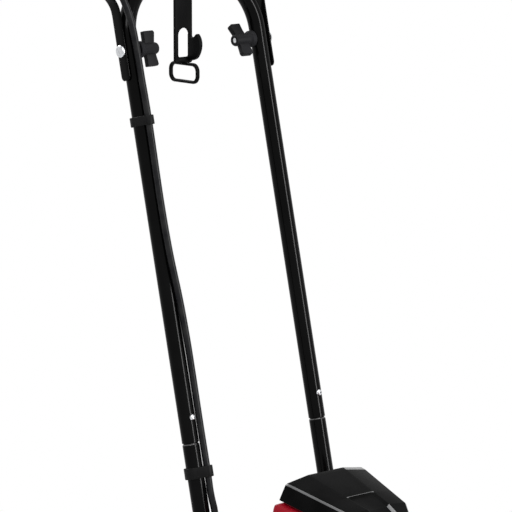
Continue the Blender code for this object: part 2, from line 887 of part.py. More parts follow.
def build_frame_bracket(assembly):
    """The pressed steel plate between gear leg, handle tubes and wheel bracket."""
    right = [
        (0.046, -0.050),
        (0.046, 0.088),
        (0.126, 0.134),
        (0.126, 0.190),
    ]
    outline = right + mirrored_x(right)
    neck = [(0.0295, -0.0225), (0.0295, 0.0685), (-0.0295, 0.0685), (-0.0295, -0.0225)]
    middle = PLATE_Z + PLATE_THICK / 2
    part = add_part(
        "frame_bracket",
        slab([outline, neck], PLATE_THICK, "XY", middle),
        "black_paint",
        assembly,
    )
    fuse(part, block((0.1200, PLATE_THICK, 0.010), (0, 0.1883, PLATE_Z - 0.003)))
    for side in (-1, 1):
        foot = tube_point(side * TRACK / 2, 0, -0.0070)
        top = tube_point(side * TRACK / 2, 0, 0.044)
        collar = (side * TRACK / 2, foot[1] + 0.0010)
        cheek = [
            (0.132, PLATE_Z + 0.0015),
            (0.132, 0.196),
            (0.141, 0.190),
            (0.157, 0.166),
            (0.163, 0.156),
            (0.174, 0.156),
            (0.199, 0.180),
            (0.199, 0.214),
            (0.187, PLATE_Z + 0.0015),
        ]
        slot = arc_slot(LOCK_REACH, 0.0047)
        fuse(
            part,
            rod(0.0160, (*collar, PLATE_Z + 0.0015), (*collar, PLATE_Z + 0.0085), 16),
            rod(0.0094, foot, top, 12),
            slab([cheek, slot], PLATE_THICK, "YZ", side * CHEEK_X),
            rod(
                0.006,
                (side * (CHEEK_X - 0.001), BRACKET_PIVOT_Y, BRACKET_PIVOT_Z),
                (side * (BRACKET_ARM_X + 0.006), BRACKET_PIVOT_Y, BRACKET_PIVOT_Z),
                12,
            ),
        )
        bolt_low = tube_point(side * TRACK / 2 - 0.02, 0, TUBE_BOLT_S)
        bolt_high = tube_point(side * TRACK / 2 + 0.02, 0, TUBE_BOLT_S)
        cut(part, rod(0.0043, bolt_low, bolt_high, 10))


def bracket_angle():
    """Direction from the bracket's pivot to the axle at rest."""
    return math.atan2(WHEEL_RADIUS - BRACKET_PIVOT_Z, WHEEL_Y - BRACKET_PIVOT_Y)


def arc_slot(reach, half_width):
    """The slot that the lock knob's stud follows while the wheel bracket swings by 60 degrees."""
    start = bracket_angle() - math.radians(8)
    sweep = math.radians(76)
    centre = (BRACKET_PIVOT_Y, BRACKET_PIVOT_Z)
    outer = circle(reach + half_width, centre, 9, start, sweep)
    inner = circle(reach - half_width, centre, 9, start, sweep)
    return outer + inner[::-1]


def build_tube_bolts(tubes):
    """Cross bolts that hold the lower tubes on the spigots of the frame bracket."""
    for side in (-1, 1):
        profile = [
            (0, 0.0045),
            (0.0072, 0.0045),
            (0.0072, 0),
            (0.0039, 0),
            (0.0039, -0.0226),
            (0.0072, -0.0226),
            (0.0072, -0.0276),
            (0.0039, -0.0276),
            (0.0039, -0.0299),
            (0, -0.0299),
        ]
        start = (side * (TRACK / 2 + TUBE_RADIUS + GAP), 0, TUBE_BOLT_S)
        add_part(f"tube_bolt_{side_name(side)}", turned(profile, 6, start, (side, 0, 0)), "zinc", tubes)


# Power unit housings


def hood_edge(y):
    """Half width and height of the hood's side edge at y. In front of the break both fall off faster."""
    back = HOOD_REAR_Y - y
    nose = max(HOOD_BREAK_Y - y, 0)
    half = HOOD_HALF - HOOD_TAPER * back - 0.25 * nose
    return half, HOOD_Z - HOOD_SLOPE * back - 0.65 * nose


def hood_ridge(y):
    """Half distance and height of the two ridges beside the middle panel at y."""
    back = HOOD_REAR_Y - y
    nose = max(HOOD_BREAK_Y - y, 0)
    return RIDGE_HALF - RIDGE_TAPER * back, RIDGE_Z - RIDGE_SLOPE * back - 0.18 * nose


def hood_rim(y):
    """Height of the hood's lower rim at y."""
    return HOOD_Z - HOOD_BAND - HOOD_SLOPE * (HOOD_REAR_Y - y)


def hood_rear(z, depth=0.0):
    """The rear face's y at a height: it leans out downwards."""
    return HOOD_REAR_Y + 0.0029 + HOOD_REAR_TILT * (HOOD_Z - z) - depth


def build_hood(assembly):
    """The black cap: a faceted lid that falls and tapers to the front, hollow below."""
    sections = []
    stations = (
        (HOOD_REAR_Y, 0.0, 0.0),
        (PANEL_Y + 0.0010, 0.0, 0.0),
        (PANEL_Y - 0.0010, 0.0, -0.0030),
        (HOOD_BREAK_Y, 0.0, -0.0030),
        (HOOD_FRONT_Y + 0.008, 0.0, -0.0030),
        (HOOD_FRONT_Y, -0.0080, -0.0030),
    )
    for y, drop, panel in stations:
        half, edge = hood_edge(y)
        ridge, crest = hood_ridge(y)
        inset = 0.004 if y == HOOD_FRONT_Y else 0.0
        rear = y == HOOD_REAR_Y
        low = hood_rim(HOOD_REAR_RIM_Y if rear else y)
        edge = max(edge + drop / 2, low + 0.0045)
        line = [
            (half + (0.004 if rear else 0.002) - inset, low),
            (half - inset, edge - 0.003),
            (half - 0.003 - inset, edge),
            (ridge, crest + drop),
            (ridge - 0.004, crest + drop + panel),
        ]
        line = [(-x, z) for x, z in line] + [(x, z) for x, z in reversed(line)]
        sections.append([(x, hood_rear(z) if rear else y, z) for x, z in line])
    part = add_part("hood", loft(sections, closed=True), "black_plastic", assembly)
    hollow = []
    for y in (HOOD_REAR_Y - 0.004, HOOD_BREAK_Y + 0.002, HOOD_FRONT_Y + 0.008):
        half, edge = hood_edge(y)
        half -= SHELL_WALL + 0.001
        low = hood_rim(y) - 0.004
        top = max(edge - 0.006, low + 0.005)
        line = [(-half, low), (-half, top), (0, top + 0.002), (half, top), (half, low)]
        rear = y == HOOD_REAR_Y - 0.004
        hollow.append([(x, hood_rear(z, 0.004) if rear else y, z) for x, z in line])
    cut(part, loft(hollow))


def shell_profile(y, widen, rim_y):
    """The outer line of the red housing's half at y, from the rim under the hood down to the bottom."""
    half, _ = hood_edge(y)
    rim = hood_rim(rim_y) - GAP - 0.0005
    return [
        (half + 0.0005, rim),
        (half + 0.006 * widen + 0.001, rim - 0.008),
        (half + 0.015 * widen, 0.5 * rim + 0.5 * SHELL_BOTTOM + 0.030),
        (half + 0.015 * widen, SHELL_BOTTOM + 0.040),
        (half + 0.006 * widen, SHELL_BOTTOM + 0.012),
        (half - 0.004, SHELL_BOTTOM),
        (0.018, SHELL_BOTTOM),
    ]


def build_motor_shells(assembly):
    """Two red shells, parted on the middle plane, that carry the motor and stand on the gear leg's flange."""
    rows = (
        (HOOD_REAR_RIM_Y + 0.009, 0.4),
        (HOOD_REAR_RIM_Y + 0.003, 1.0),
        (0.020, 1.0),
        (HOOD_BREAK_Y, 1.0),
        (HOOD_FRONT_Y + 0.004, 0.9),
        (HOOD_FRONT_Y - 0.004, 0.4),
    )
    for side in (-1, 1):
        builder = bmesh.new()
        grid = []
        for y, widen in rows:
            inset = 0.010 if y in (rows[0][0], rows[-1][0]) else 0.0
            step = 0.0 if inset else 0.0015
            rim_y = min(y, HOOD_REAR_RIM_Y + 0.0005 - step)
            profile = shell_profile(y, widen, rim_y)
            line = [(x - inset if x > 0.020 else x, z) for x, z in profile]
            back = [y] * len(line)
            if y > HOOD_REAR_RIM_Y:
                back[:2] = [rim_y, rim_y + 0.0060]
            grid.append([builder.verts.new((side * x, at, z)) for (x, z), at in zip(line, back)])
        for first, second in zip(grid, grid[1:]):
            for k in range(len(first) - 1):
                builder.faces.new((first[k], first[k + 1], second[k + 1], second[k]))
        for row in (grid[0], grid[-1]):
            middle = [builder.verts.new((side * GAP / 2, vert.co.y, vert.co.z)) for vert in row[:-2]]
            low = builder.verts.new((side * GAP / 2, row[-1].co.y, row[-1].co.z))
            for k in range(len(middle) - 1):
                builder.faces.new((row[k], row[k + 1], middle[k + 1], middle[k]))
            builder.faces.new((*row[-3:], low, middle[-1]))
        mesh = mesh_of(builder)
        if side * mesh.polygons[0].normal.x < 0:
            mesh.flip_normals()
        part = add_part(f"motor_shell_{side_name(side)}", mesh, "red_plastic", assembly)
        wall = part.modifiers.new("Wall", "SOLIDIFY")
        wall.thickness = SHELL_WALL
        wall.offset = -1
        for k in range(6):
            y = 0.042 - 0.013 * k
            half, _ = hood_edge(y)
            cut(part, block((0.040, 0.0055, 0.034), (side * (half + 0.010), y, 0.2935)))
        if side < 0:
            rear = HOOD_REAR_RIM_Y + 0.009
            cut(part, rod(0.0072, (-0.046, rear - 0.02, 0.300), (-0.046, rear + 0.02, 0.300), 12))


def build_housing_gland(assembly):
    """The tapered strain relief where the motor lead enters the red housing."""
    rear = HOOD_REAR_RIM_Y + 0.009
    profile = [
        (0.0088, -0.0055),
        (0.0088, -0.0028),
        (0.0068, -0.0028),
        (0.0068, 0.0006),
        (0.0076, 0.0006),
        (0.0060, 0.0258),
        (LEAD_BORE, 0.0258),
        (LEAD_BORE, -0.0055),
    ]
    profile.reverse()
    add_part("housing_gland", turned(profile, 12, (-0.046, rear, 0.300), (0, 1, 0)), "rubber", assembly)


# Gear leg


def leg_outline():
    """Side view of the gear leg: round about the wheel, with the worm's column rising behind it."""
    radius = 0.038
    bottom = circle(radius, (0, TINE_Z), 15, math.radians(150), math.radians(205))
    top = FLANGE_Z[0] + 0.004
    column = [(0.0530, 0.118), (0.0530, 0.188), (0.0660, 0.199)]
    column += [(0.0660, top), (-0.0200, top), (-0.0200, 0.178)]
    return bottom + column


def build_gearbox(assembly):
    """The cast leg in two halves: wheel chamber, worm column, gear chamber, bearing seats and flange."""
    for side in (-1, 1):
        low, high = -0.0010, 0.0225
        part = add_part(
            f"gearbox_{side_name(side)}",
            slab([leg_outline()], high - low, "YZ", side * (low + high) / 2),
            "cast_alloy",
            assembly,
        )
        neck_top = FLANGE_Z[0] + 0.003
        neck_size = (0.0290, 0.0890, neck_top - 0.196)
        neck_centre = (side * 0.0135, 0.0230, (neck_top + 0.196) / 2)
        flange_size = (0.0460, 0.124, FLANGE_Z[1] - FLANGE_Z[0])
        flange_centre = (side * 0.0210, 0.0160, (FLANGE_Z[0] + FLANGE_Z[1]) / 2)
        fuse(
            part,
            block(neck_size, neck_centre),
            block(flange_size, flange_centre),
            rod(0.0215, (side * 0.010, 0, TINE_Z), (side * 0.0300, 0, TINE_Z), 16),
        )
        cut(part, block((0.0300, 0.3000, 0.3000), (side * (GAP / 2 - 0.0150), 0, 0.1500)))
        cut(
            part,
            rod(0.0345, (-0.0100, 0, TINE_Z), (0.0100, 0, TINE_Z), 20),
            rod(0.0172, (side * 0.0080, 0, TINE_Z), (side * 0.0235, 0, TINE_Z), 18),
            rod(0.0152, (side * 0.0200, 0, TINE_Z), (side * 0.0400, 0, TINE_Z), 18),
            rod(0.0112, (0, WORM_Y, 0.078), (0, WORM_Y, 0.128), 14),
            rod(0.0044, (0, WORM_Y, 0.068), (0, WORM_Y, 0.225), 12),
            rod(0.0250, (0, WORM_Y, 0.197), (0, WORM_Y, 0.2130), 20),
            rod(0.0095, (0, MOTOR_Y, 0.197), (0, MOTOR_Y, 0.2145), 14),
            rod(0.0133, (0, MOTOR_Y, 0.2135), (0, MOTOR_Y, 0.240), 16),
        )


def gear_outline(teeth, module, backlash=0.25, turn=0.0):
    """Straight sided teeth whose flanks lean by the pressure angle at the pitch circle."""
    pitch = teeth * module / 2
    tip = pitch + 0.95 * module
    root = pitch - 1.20 * module
    half_pitch_tooth = math.pi / (2 * teeth) * (1 - backlash)
    lean = math.tan(PRESSURE_ANGLE) / pitch
    half_root = half_pitch_tooth + (pitch - root) * lean
    half_tip = max(half_pitch_tooth - (tip - pitch) * lean, 0.15 * math.pi / teeth)
    points = []
    for k in range(teeth):
        a = turn + 2 * math.pi * k / teeth
        for radius, angle in ((root, -half_root), (tip, -half_tip), (tip, half_tip), (root, half_root)):
            points.append((radius * math.cos(a + angle), radius * math.sin(a + angle)))
    return points


def build_worm_wheel(tines):
    """The bronze wheel on the tine shaft. Its teeth lean by the worm's lead angle."""
    pitch = WHEEL_TEETH * WORM_MODULE / 2
    lead_angle = math.atan(WORM_STARTS * WORM_MODULE / (2 * WORM_PITCH_RADIUS))
    half_width = 0.0060
    sections = []
    for x in (-half_width, half_width):
        turn = x * math.tan(lead_angle) / pitch
        outline = gear_outline(WHEEL_TEETH, WORM_MODULE, 0.30, turn)
        sections.append([(x, y, z) for y, z in outline])
    part = add_part("worm_wheel", loft(sections), "bronze", tines)
    fuse(part, rod(0.0150, (-0.0090, 0, 0), (0.0090, 0, 0), 16))
    cut(part, rod(TINE_SHAFT_RADIUS + GAP, (-0.02, 0, 0), (0.02, 0, 0), 16))


def worm_thread(start_angle, low, high, steps_per_turn=10):
    """One helical thread with a trapezoid section, right handed, between two heights."""
    lead = math.pi * WORM_MODULE * WORM_STARTS
    pitch_half = math.pi * WORM_MODULE / 4 * 0.70
    rise = math.tan(PRESSURE_ANGLE)
    tip = WORM_PITCH_RADIUS + 0.95 * WORM_MODULE
    root = WORM_PITCH_RADIUS - 1.35 * WORM_MODULE
    root_half = pitch_half + (WORM_PITCH_RADIUS - root) * rise
    tip_half = pitch_half - (tip - WORM_PITCH_RADIUS) * rise
    steps = math.ceil((high - low) / lead * steps_per_turn)
    sections = []
    for k in range(steps + 1):
        z = low + (high - low) * k / steps
        a = start_angle + 2 * math.pi * (z - TINE_Z) / lead
        profile = ((root, z - root_half), (tip, z - tip_half), (tip, z + tip_half), (root, z + root_half))
        sections.append([(r * math.cos(a), r * math.sin(a), height) for r, height in profile])
    return loft(sections)


def build_worm_shaft(worm):
    """The upright shaft with its two start worm, in bores of the gear leg."""
    core = WORM_PITCH_RADIUS - 1.20 * WORM_MODULE
    profile = [
        (0, 0.2210),
        (SHAFT_RADIUS, 0.2210),
        (SHAFT_RADIUS, 0.1240),
        (core, 0.1240),
        (core, 0.0810),
        (SHAFT_RADIUS, 0.0810),
        (SHAFT_RADIUS, 0.0690),
        (0, 0.0690),
    ]
    part = add_part("worm_shaft", turned(profile, 12), "grey_steel", worm)
    for k in range(WORM_STARTS):
        fuse(part, worm_thread(math.pi * (1 + 2 * k / WORM_STARTS), 0.0850, 0.1190))


def build_intermediate_gear(worm):
    outline = gear_outline(GEAR_TEETH, SPUR_MODULE, 0.30, -math.pi / 2)
    hole = circle(SHAFT_RADIUS + GAP, (0, 0), 12)
    mesh = slab([outline, hole], GEAR_Z[1] - GEAR_Z[0], "XY", (GEAR_Z[0] + GEAR_Z[1]) / 2)
    add_part("intermediate_gear", mesh, "grey_steel", worm)


def build_tine_bearings(assembly):
    for side in (-1, 1):
        name = side_name(side)
        bearing = ring(0.0169, TINE_SHAFT_RADIUS + 0.0002, 0.0105, 0.0225, 18, (0, 0, TINE_Z), (side, 0, 0))
        add_part(f"tine_bearing_{name}", bearing, "grey_steel", assembly)
        seal = ring(0.0149, TINE_SHAFT_RADIUS + GAP, 0.0240, 0.0290, 16, (0, 0, TINE_Z), (side, 0, 0))
        add_part(f"shaft_seal_{name}", seal, "rubber", assembly)


# Motor


def build_stator(assembly):
    """The laminated field pack with its two coils, held in the red shells."""
    outline = circle(0.0440, (0, 0), 24)
    bore = circle(0.0270, (0, 0), 20)
    mesh = slab([outline, bore], 0.0560, "XY", 0.3020)
    part = add_part("stator", mesh, "lamination", assembly, (0, MOTOR_Y, 0))
    for low, high in ((0.2650, 0.2745), (0.3295, 0.3390)):
        fuse(part, ring(0.0400, 0.0290, low, high, 16))


def build_armature(spin):
    """Shaft, laminated core, commutator and the pinion cut on the shaft's lower end."""
    profile = [
        (0, 0.3920),
        (SHAFT_RADIUS, 0.3920),
        (SHAFT_RADIUS, 0.3700),
        (0.0120, 0.3700),
        (0.0120, 0.3510),
        (0.0090, 0.3510),
        (0.0090, 0.3340),
        (0.0200, 0.3320),
        (0.0200, 0.2740),
        (0.0090, 0.2700),
        (SHAFT_RADIUS, 0.2700),
        (SHAFT_RADIUS, 0.2080),
        (0, 0.2080),
    ]
    part = add_part("armature", turned(profile, 16), "lamination", spin)
    slots = []
    for k in range(12):
        a = 2 * math.pi * k / 12
        for radius, angle in ((0.0258, -0.21), (0.0258, 0.21), (0.0205, 0.21), (0.0205, 0.314)):
            slots.append((radius * math.cos(a + angle), radius * math.sin(a + angle)))
    pinion = gear_outline(PINION_TEETH, SPUR_MODULE, 0.30, math.pi / 2 + math.pi / PINION_TEETH)
    fuse(
        part,
        slab([slots], 0.0500, "XY", 0.3030),
        slab([pinion], 0.0130, "XY", 0.2045),
    )


def build_fan(spin):
    """The cooling fan below the field pack: a dished disc with straight vanes."""
    profile = [
        (0.0380, 0.2440),
        (0.0380, 0.2420),
        (0.0070, 0.2420),
        (SHAFT_RADIUS + GAP, 0.2420),
        (SHAFT_RADIUS + GAP, 0.2560),
        (0.0070, 0.2560),
        (0.0080, 0.2440),
    ]
    part = add_part("cooling_fan", turned(profile, 20), "knob_plastic", spin)
    for k in range(9):
        a = 2 * math.pi * k / 9
        blade = block((0.0280, 0.0015, 0.0110), (0.0230, 0, 0))
        lean = Matrix.Rotation(a, 4, "Z") @ Matrix.Rotation(0.25, 4, "X")
        blade.transform(Matrix.Translation((0, 0, 0.2485)) @ lean)
        fuse(part, blade)


def build_motor_bearings(assembly):
    for name, low, high in (("lower", 0.2150, 0.2240), ("upper", 0.3790, 0.3870)):
        bearing = ring(0.0128, SHAFT_RADIUS + 0.0002, low, high, 16)
        add_part(f"motor_bearing_{name}", bearing, "grey_steel", assembly, (0, MOTOR_Y, 0))


def build_brush_bridge(assembly):
    """The moulded end bracket: it seats the upper bearing and both brushes, with arms to the field pack."""
    bridge = [
        (0.0420, -0.0085),
        (0.0420, 0.0085),
        (0.0170, 0.0170),
        (-0.0170, 0.0170),
        (-0.0420, 0.0085),
        (-0.0420, -0.0085),
        (-0.0170, -0.0170),
        (0.0170, -0.0170),
    ]
    hole = circle(0.0060, (0, 0), 12)
    part = add_part(
        "brush_bridge",
        slab([bridge, hole], 0.0140, "XY", 0.3810),
        "black_plastic",
        assembly,
        (0, MOTOR_Y, 0),
    )
    cut(part, rod(0.0131, (0, 0, 0.3785), (0, 0, 0.3950), 16))
    for side in (-1, 1):
        fuse(
            part,
            block((0.0060, 0.0120, 0.0440), (side * 0.0370, 0, 0.3615)),
            block((0.0180, 0.0150, 0.0300), (side * 0.0260, 0, 0.3610)),
        )
        cut(part, block((0.0240, 0.0084, 0.0104), (side * 0.0240, 0, 0.3600)))


def build_brushes(assembly):
    for side in (-1, 1):
        x_low = 0.0124
        mesh = block((0.0180, 0.0078, 0.0098), (side * (x_low + 0.0090), 0, 0.3600))
        add_part(f"carbon_brush_{side_name(side)}", mesh, "carbon", assembly, (0, MOTOR_Y, 0))


# Tines, shaft and guard


def blade_mesh(angle, direction):
    """One tine: a strip that sweeps back and bends sideways towards its tip."""
    stations = ((0.020, 0.0130), (0.044, 0.0125), (0.064, 0.0120), (0.083, 0.0110))
    stations += ((TINE_RADIUS - 0.0013, 0.0065),)
    sections = []
    previous = None
    for radius, half in stations:
        share = max(0.0, (radius - 0.040) / (TINE_RADIUS - 0.040))
        x = direction * (BLADE_REACH - BLADE_THICK / 2) * share**1.25
        a = angle - 0.40 * share
        place = Vector((x, radius * math.cos(a), radius * math.sin(a)))
        across = Vector((0, -math.sin(a), math.cos(a)))
        forward = (place - previous).normalized() if previous else Vector((0, math.cos(a), math.sin(a)))
        previous = place
        thick = across.cross(forward).normalized() * (BLADE_THICK / 2)
        wide = across * half
        near, far = place - thick, place + thick
        sections.append([near - wide, near + wide, far + wide, far - wide])
    return loft(sections)


def build_tine_rotors(tines):
    """Two rotors a side. Each is a hub with a flange and four tines, bent in turn to either side."""
    for side in (-1, 1):
        for index, start in enumerate(ROTOR_STARTS):
            name = ("inner", "outer")[index]
            middle = side * (start + ROTOR_SPAN / 2)
            hub = ring(
                0.0140,
                TINE_SHAFT_RADIUS + GAP,
                -ROTOR_SPAN / 2,
                ROTOR_SPAN / 2,
                14,
                (middle, 0, 0),
                (1, 0, 0),
            )
            part = add_part(f"tine_rotor_{name}_{side_name(side)}", hub, "grey_steel", tines)
            flange = ring(0.0330, 0.0125, -0.0025, 0.0025, 16, (middle, 0, 0), (1, 0, 0))
            fuse(part, flange)
            turn = math.radians(45) * index
            for k in range(4):
                mesh = blade_mesh(-math.pi / 2 + 0.40 + turn + k * math.pi / 2, 1 if k % 2 else -1)
                mesh.transform(Matrix.Translation((middle, 0, 0)))
                fuse(part, mesh)
            cut(part, rod(0.0033, (side * 0.1850, -0.03, 0), (side * 0.1850, 0.03, 0), 8))


def build_tine_shaft(tines):
    part = add_part(
        "tine_shaft",
        rod(TINE_SHAFT_RADIUS, (-TINE_SHAFT_HALF, 0, 0), (TINE_SHAFT_HALF, 0, 0), 16),
        "grey_steel",
        tines,
    )
    for side in (-1, 1):
        cut(part, rod(0.0033, (side * 0.1850, -0.03, 0), (side * 0.1850, 0.03, 0), 8))


def build_rotor_pins(tines):
    """Headed pins through the outer hubs and the shaft."""
    for side in (-1, 1):
        profile = [
            (0, 0.0035),
            (0.0055, 0.0035),
            (0.0055, 0),
            (0.0030, 0),
            (0.0030, -0.0340),
            (0, -0.0340),
        ]
        start = (side * 0.1850, 0.0140 + GAP, 0)
        add_part(f"rotor_pin_{side_name(side)}", turned(profile, 8, start, (0, 1, 0)), "zinc", tines)


def guard_line(radius, trim=0.0, steps=11):
    """The guard's curve over the tines, from the front to the rear."""
    start, end = math.radians(172 - trim), math.radians(14 + trim)
    return circle(radius, (0, TINE_Z), steps + 1, start, end - start)


def build_tine_guard(assembly):
    """The black cover over the tines, open at the ends and cut out for the gear leg."""
    outer = guard_line(GUARD_RADIUS + GUARD_WALL)
    inner = guard_line(GUARD_RADIUS)
    front = [(-GUARD_RADIUS - 0.012, TINE_Z + 0.010), (-GUARD_RADIUS - 0.012, TINE_Z + 0.013)]
    outline = outer + inner[::-1] + front
    part = add_part(
        "tine_guard",
        slab([outline], 2 * GUARD_HALF, "YZ"),
        "black_plastic",
        assembly,
    )
    rib = guard_line(GUARD_RADIUS + 0.010, 3) + guard_line(GUARD_RADIUS + 0.001, 3)[::-1]
    boss = 0.006
    top = PLATE_Z - GAP
    for side in (-1, 1):
        fuse(part, slab([rib], 0.004, "YZ", side * (GUARD_HALF - 0.005)))
        for y in (-0.040, 0.055):
            foot = TINE_Z + math.sqrt(GUARD_RADIUS**2 - (abs(y) - boss - 0.0005) ** 2)
            fuse(part, rod(boss, (side * 0.039, y, foot), (side * 0.039, y, top), 10))
    cut(part, block((0.0600, 0.1140, 0.1200), (0, 0.0140, 0.2000)))


# Transport wheels


def build_wheel_bracket(pivot):
    """Two arms with a web, the axle's tube and the lock's hole. The frame is on the pivot's axis."""
    direction = bracket_angle()
    reach = math.hypot(WHEEL_RADIUS - BRACKET_PIVOT_Z, WHEEL_Y - BRACKET_PIVOT_Y)
    end = (reach * math.cos(direction), reach * math.sin(direction))
    outline = circle(0.0120, (0, 0), 8, direction + math.pi / 2, math.pi)
    outline += circle(0.0120, end, 8, direction - math.pi / 2, math.pi)
    hole = circle(0.0063, (0, 0), 12)
    axle = circle(AXLE_RADIUS + GAP, end, 12)
    lock = circle(0.0043, (LOCK_REACH * math.cos(direction), LOCK_REACH * math.sin(direction)), 10)
    part = add_part(
        "wheel_bracket",
        slab([outline, hole, axle, lock], 0.003, "YZ", -(BRACKET_ARM_X + 0.0005)),
        "black_paint",
        pivot,
    )
    along_arm = Vector((0, math.cos(direction), math.sin(direction)))
    across = Vector((0, -math.sin(direction), math.cos(direction)))
    web = block((2 * BRACKET_ARM_X + 0.001, 0.003, 0.050), (0, 0, 0))
    web.transform(Matrix.Rotation(direction - math.pi / 2, 4, "X"))
    web.transform(Matrix.Translation(along_arm * 0.092 + across * 0.0075))
    fuse(
        part,
        slab([outline, hole, axle, lock], 0.003, "YZ", BRACKET_ARM_X + 0.0005),
        web,
        ring(0.0095, AXLE_RADIUS + GAP, -BRACKET_ARM_X, BRACKET_ARM_X, 12, (0, end[0], end[1]), (1, 0, 0)),
    )


def build_lock_knob(knob):
    """A star knob with a stud that clamps the bracket's arm on the cheek's slot. The frame is on its axis."""
    lobes = []
    for k in range(30):
        a = 2 * math.pi * k / 30
        radius = 0.0150 + 0.0022 * math.cos(5 * a)
        lobes.append((radius * math.cos(a), radius * math.sin(a)))
    part = add_part("wheel_lock_knob", slab([lobes], 0.0110, "YZ", 0.0065), "knob_plastic", knob)
    fuse(
        part,
        rod(0.0038, (0.002, 0, 0), (-0.0130, 0, 0), 12),
        rod(0.0085, (0.0070, 0, 0), (0.0005, 0, 0), 12),
    )


def build_axle(pivot):
    direction = bracket_angle()
    reach = math.hypot(WHEEL_RADIUS - BRACKET_PIVOT_Z, WHEEL_Y - BRACKET_PIVOT_Y)
    y, z = reach * math.cos(direction), reach * math.sin(direction)
    half = WHEEL_X + WHEEL_HALF_WIDTH + 0.006
    add_part("wheel_axle", rod(AXLE_RADIUS, (-half, y, z), (half, y, z), 12), "zinc", pivot)


def build_wheel(side, hub):
    """A moulded wheel: solid tyre, dished rim and a hub bored for the axle."""
    half = WHEEL_HALF_WIDTH
    profile = [
        (WHEEL_RADIUS, half - 0.006),
        (WHEEL_RADIUS, -half + 0.006),
        (WHEEL_RADIUS - 0.012, -half),
        (WHEEL_RADIUS - 0.020, -half + 0.010),
        (0.018, -half + 0.012),
        (AXLE_RADIUS + GAP, -half),
        (AXLE_RADIUS + GAP, half),
        (0.018, half - 0.012),
        (WHEEL_RADIUS - 0.020, half - 0.010),
        (WHEEL_RADIUS - 0.012, half),
    ]
    add_part(f"wheel_{side_name(side)}", turned(profile, 20, (0, 0, 0), (1, 0, 0)), "rubber", hub)


# Assembly


def build_handle_group(tubes):
    build_lower_tubes(tubes)
    build_middle_frame(tubes)
    build_sleeve_bolts(tubes)
    build_fold_bolts(tubes)
    build_tube_bolts(tubes)
    build_clips(tubes)
    for side in (-1, 1):
        knob = add_empty(
            f"knob_axis_{side_name(side)}",
            (side * (TRACK / 2 - TUBE_RADIUS), 0, PIVOT_S),
            (0 if side < 0 else math.radians(-24), 0, 0),
            tubes,
        )
        build_wing_knob(side, knob)
    handle = add_empty("fold_axis", (0, 0, PIVOT_S), parent=tubes)
    build_upper_handle(handle)
    build_foam_grip(handle)
    build_switch_box(handle)
    build_switch_module(handle)
    build_mains_inlet(handle)
    build_lead_gland(handle)
    build_bail_clip(handle)
    build_bail(add_empty("bail_axis", (0, 0, BAIL_AXIS_U), parent=handle))
    build_lock_off_button(add_empty("button_axis", (BUTTON_X, BOX_V[1], BUTTON_U), parent=handle))


def build_power_unit(assembly):
    build_frame_bracket(assembly)
    build_hood(assembly)
    build_motor_shells(assembly)
    build_housing_gland(assembly)
    build_gearbox(assembly)
    build_tine_bearings(assembly)
    build_stator(assembly)
    build_motor_bearings(assembly)
    build_brush_bridge(assembly)
    build_brushes(assembly)
    worm = add_empty("worm_axis", (0, WORM_Y, 0), parent=assembly)
    build_worm_shaft(worm)
    build_intermediate_gear(worm)
    motor = add_empty("armature_axis", (0, MOTOR_Y, 0), parent=assembly)
    build_armature(motor)
    build_fan(motor)


def build_ground_group(assembly):
    tines = add_empty("tine_axis", (0, 0, TINE_Z), parent=assembly)
    build_tine_shaft(tines)
    build_worm_wheel(tines)
    build_tine_rotors(tines)
    build_rotor_pins(tines)
    build_tine_guard(assembly)
    pivot = add_empty("bracket_axis", (0, BRACKET_PIVOT_Y, BRACKET_PIVOT_Z), parent=assembly)
    build_wheel_bracket(pivot)
    build_axle(pivot)
    direction = bracket_angle()
    knob_place = (BRACKET_ARM_X + 0.0024, LOCK_REACH * math.cos(direction), LOCK_REACH * math.sin(direction))
    build_lock_knob(add_empty("lock_knob_axis", knob_place, parent=pivot))
    for side in (-1, 1):
        place = (side * WHEEL_X, WHEEL_Y - BRACKET_PIVOT_Y, WHEEL_RADIUS - BRACKET_PIVOT_Z)
        build_wheel(side, add_empty(f"wheel_axis_{side_name(side)}", place, parent=pivot))


def main():
    global PARTS, TOOLS
    clear_scene()
    PARTS = new_collection("electric_garden_tiller")
    TOOLS = new_collection("cutters")
    make_materials()
    assembly = add_empty("assembly", (0, ASSEMBLY_SHIFT, 0))
    tubes = add_empty("tube_plane", (0, FOOT_Y, FOOT_Z), (-LEAN, 0, 0), assembly)
    build_handle_group(tubes)
    build_motor_lead(assembly)
    build_cable_hook(add_empty("hook_axis", tube_point(0, 0, ARCH_TOP_S), parent=assembly))
    build_power_unit(assembly)
    build_ground_group(assembly)


main()
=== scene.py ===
"""Looks of the electric garden tiller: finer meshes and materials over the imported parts, and the scene.

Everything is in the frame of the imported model, in metres. Pieces on the leaning tubes are built in the tubes'
own frame (x to the operator's left, y to the rear, z up the tubes) and pieces of the power unit from the
tine axis, as in the model's source.
"""

import json
from math import atan2, ceil, copysign, cos, hypot, pi, radians, sin, sqrt, tan

import bmesh
import bpy
from mathutils import Matrix, Vector


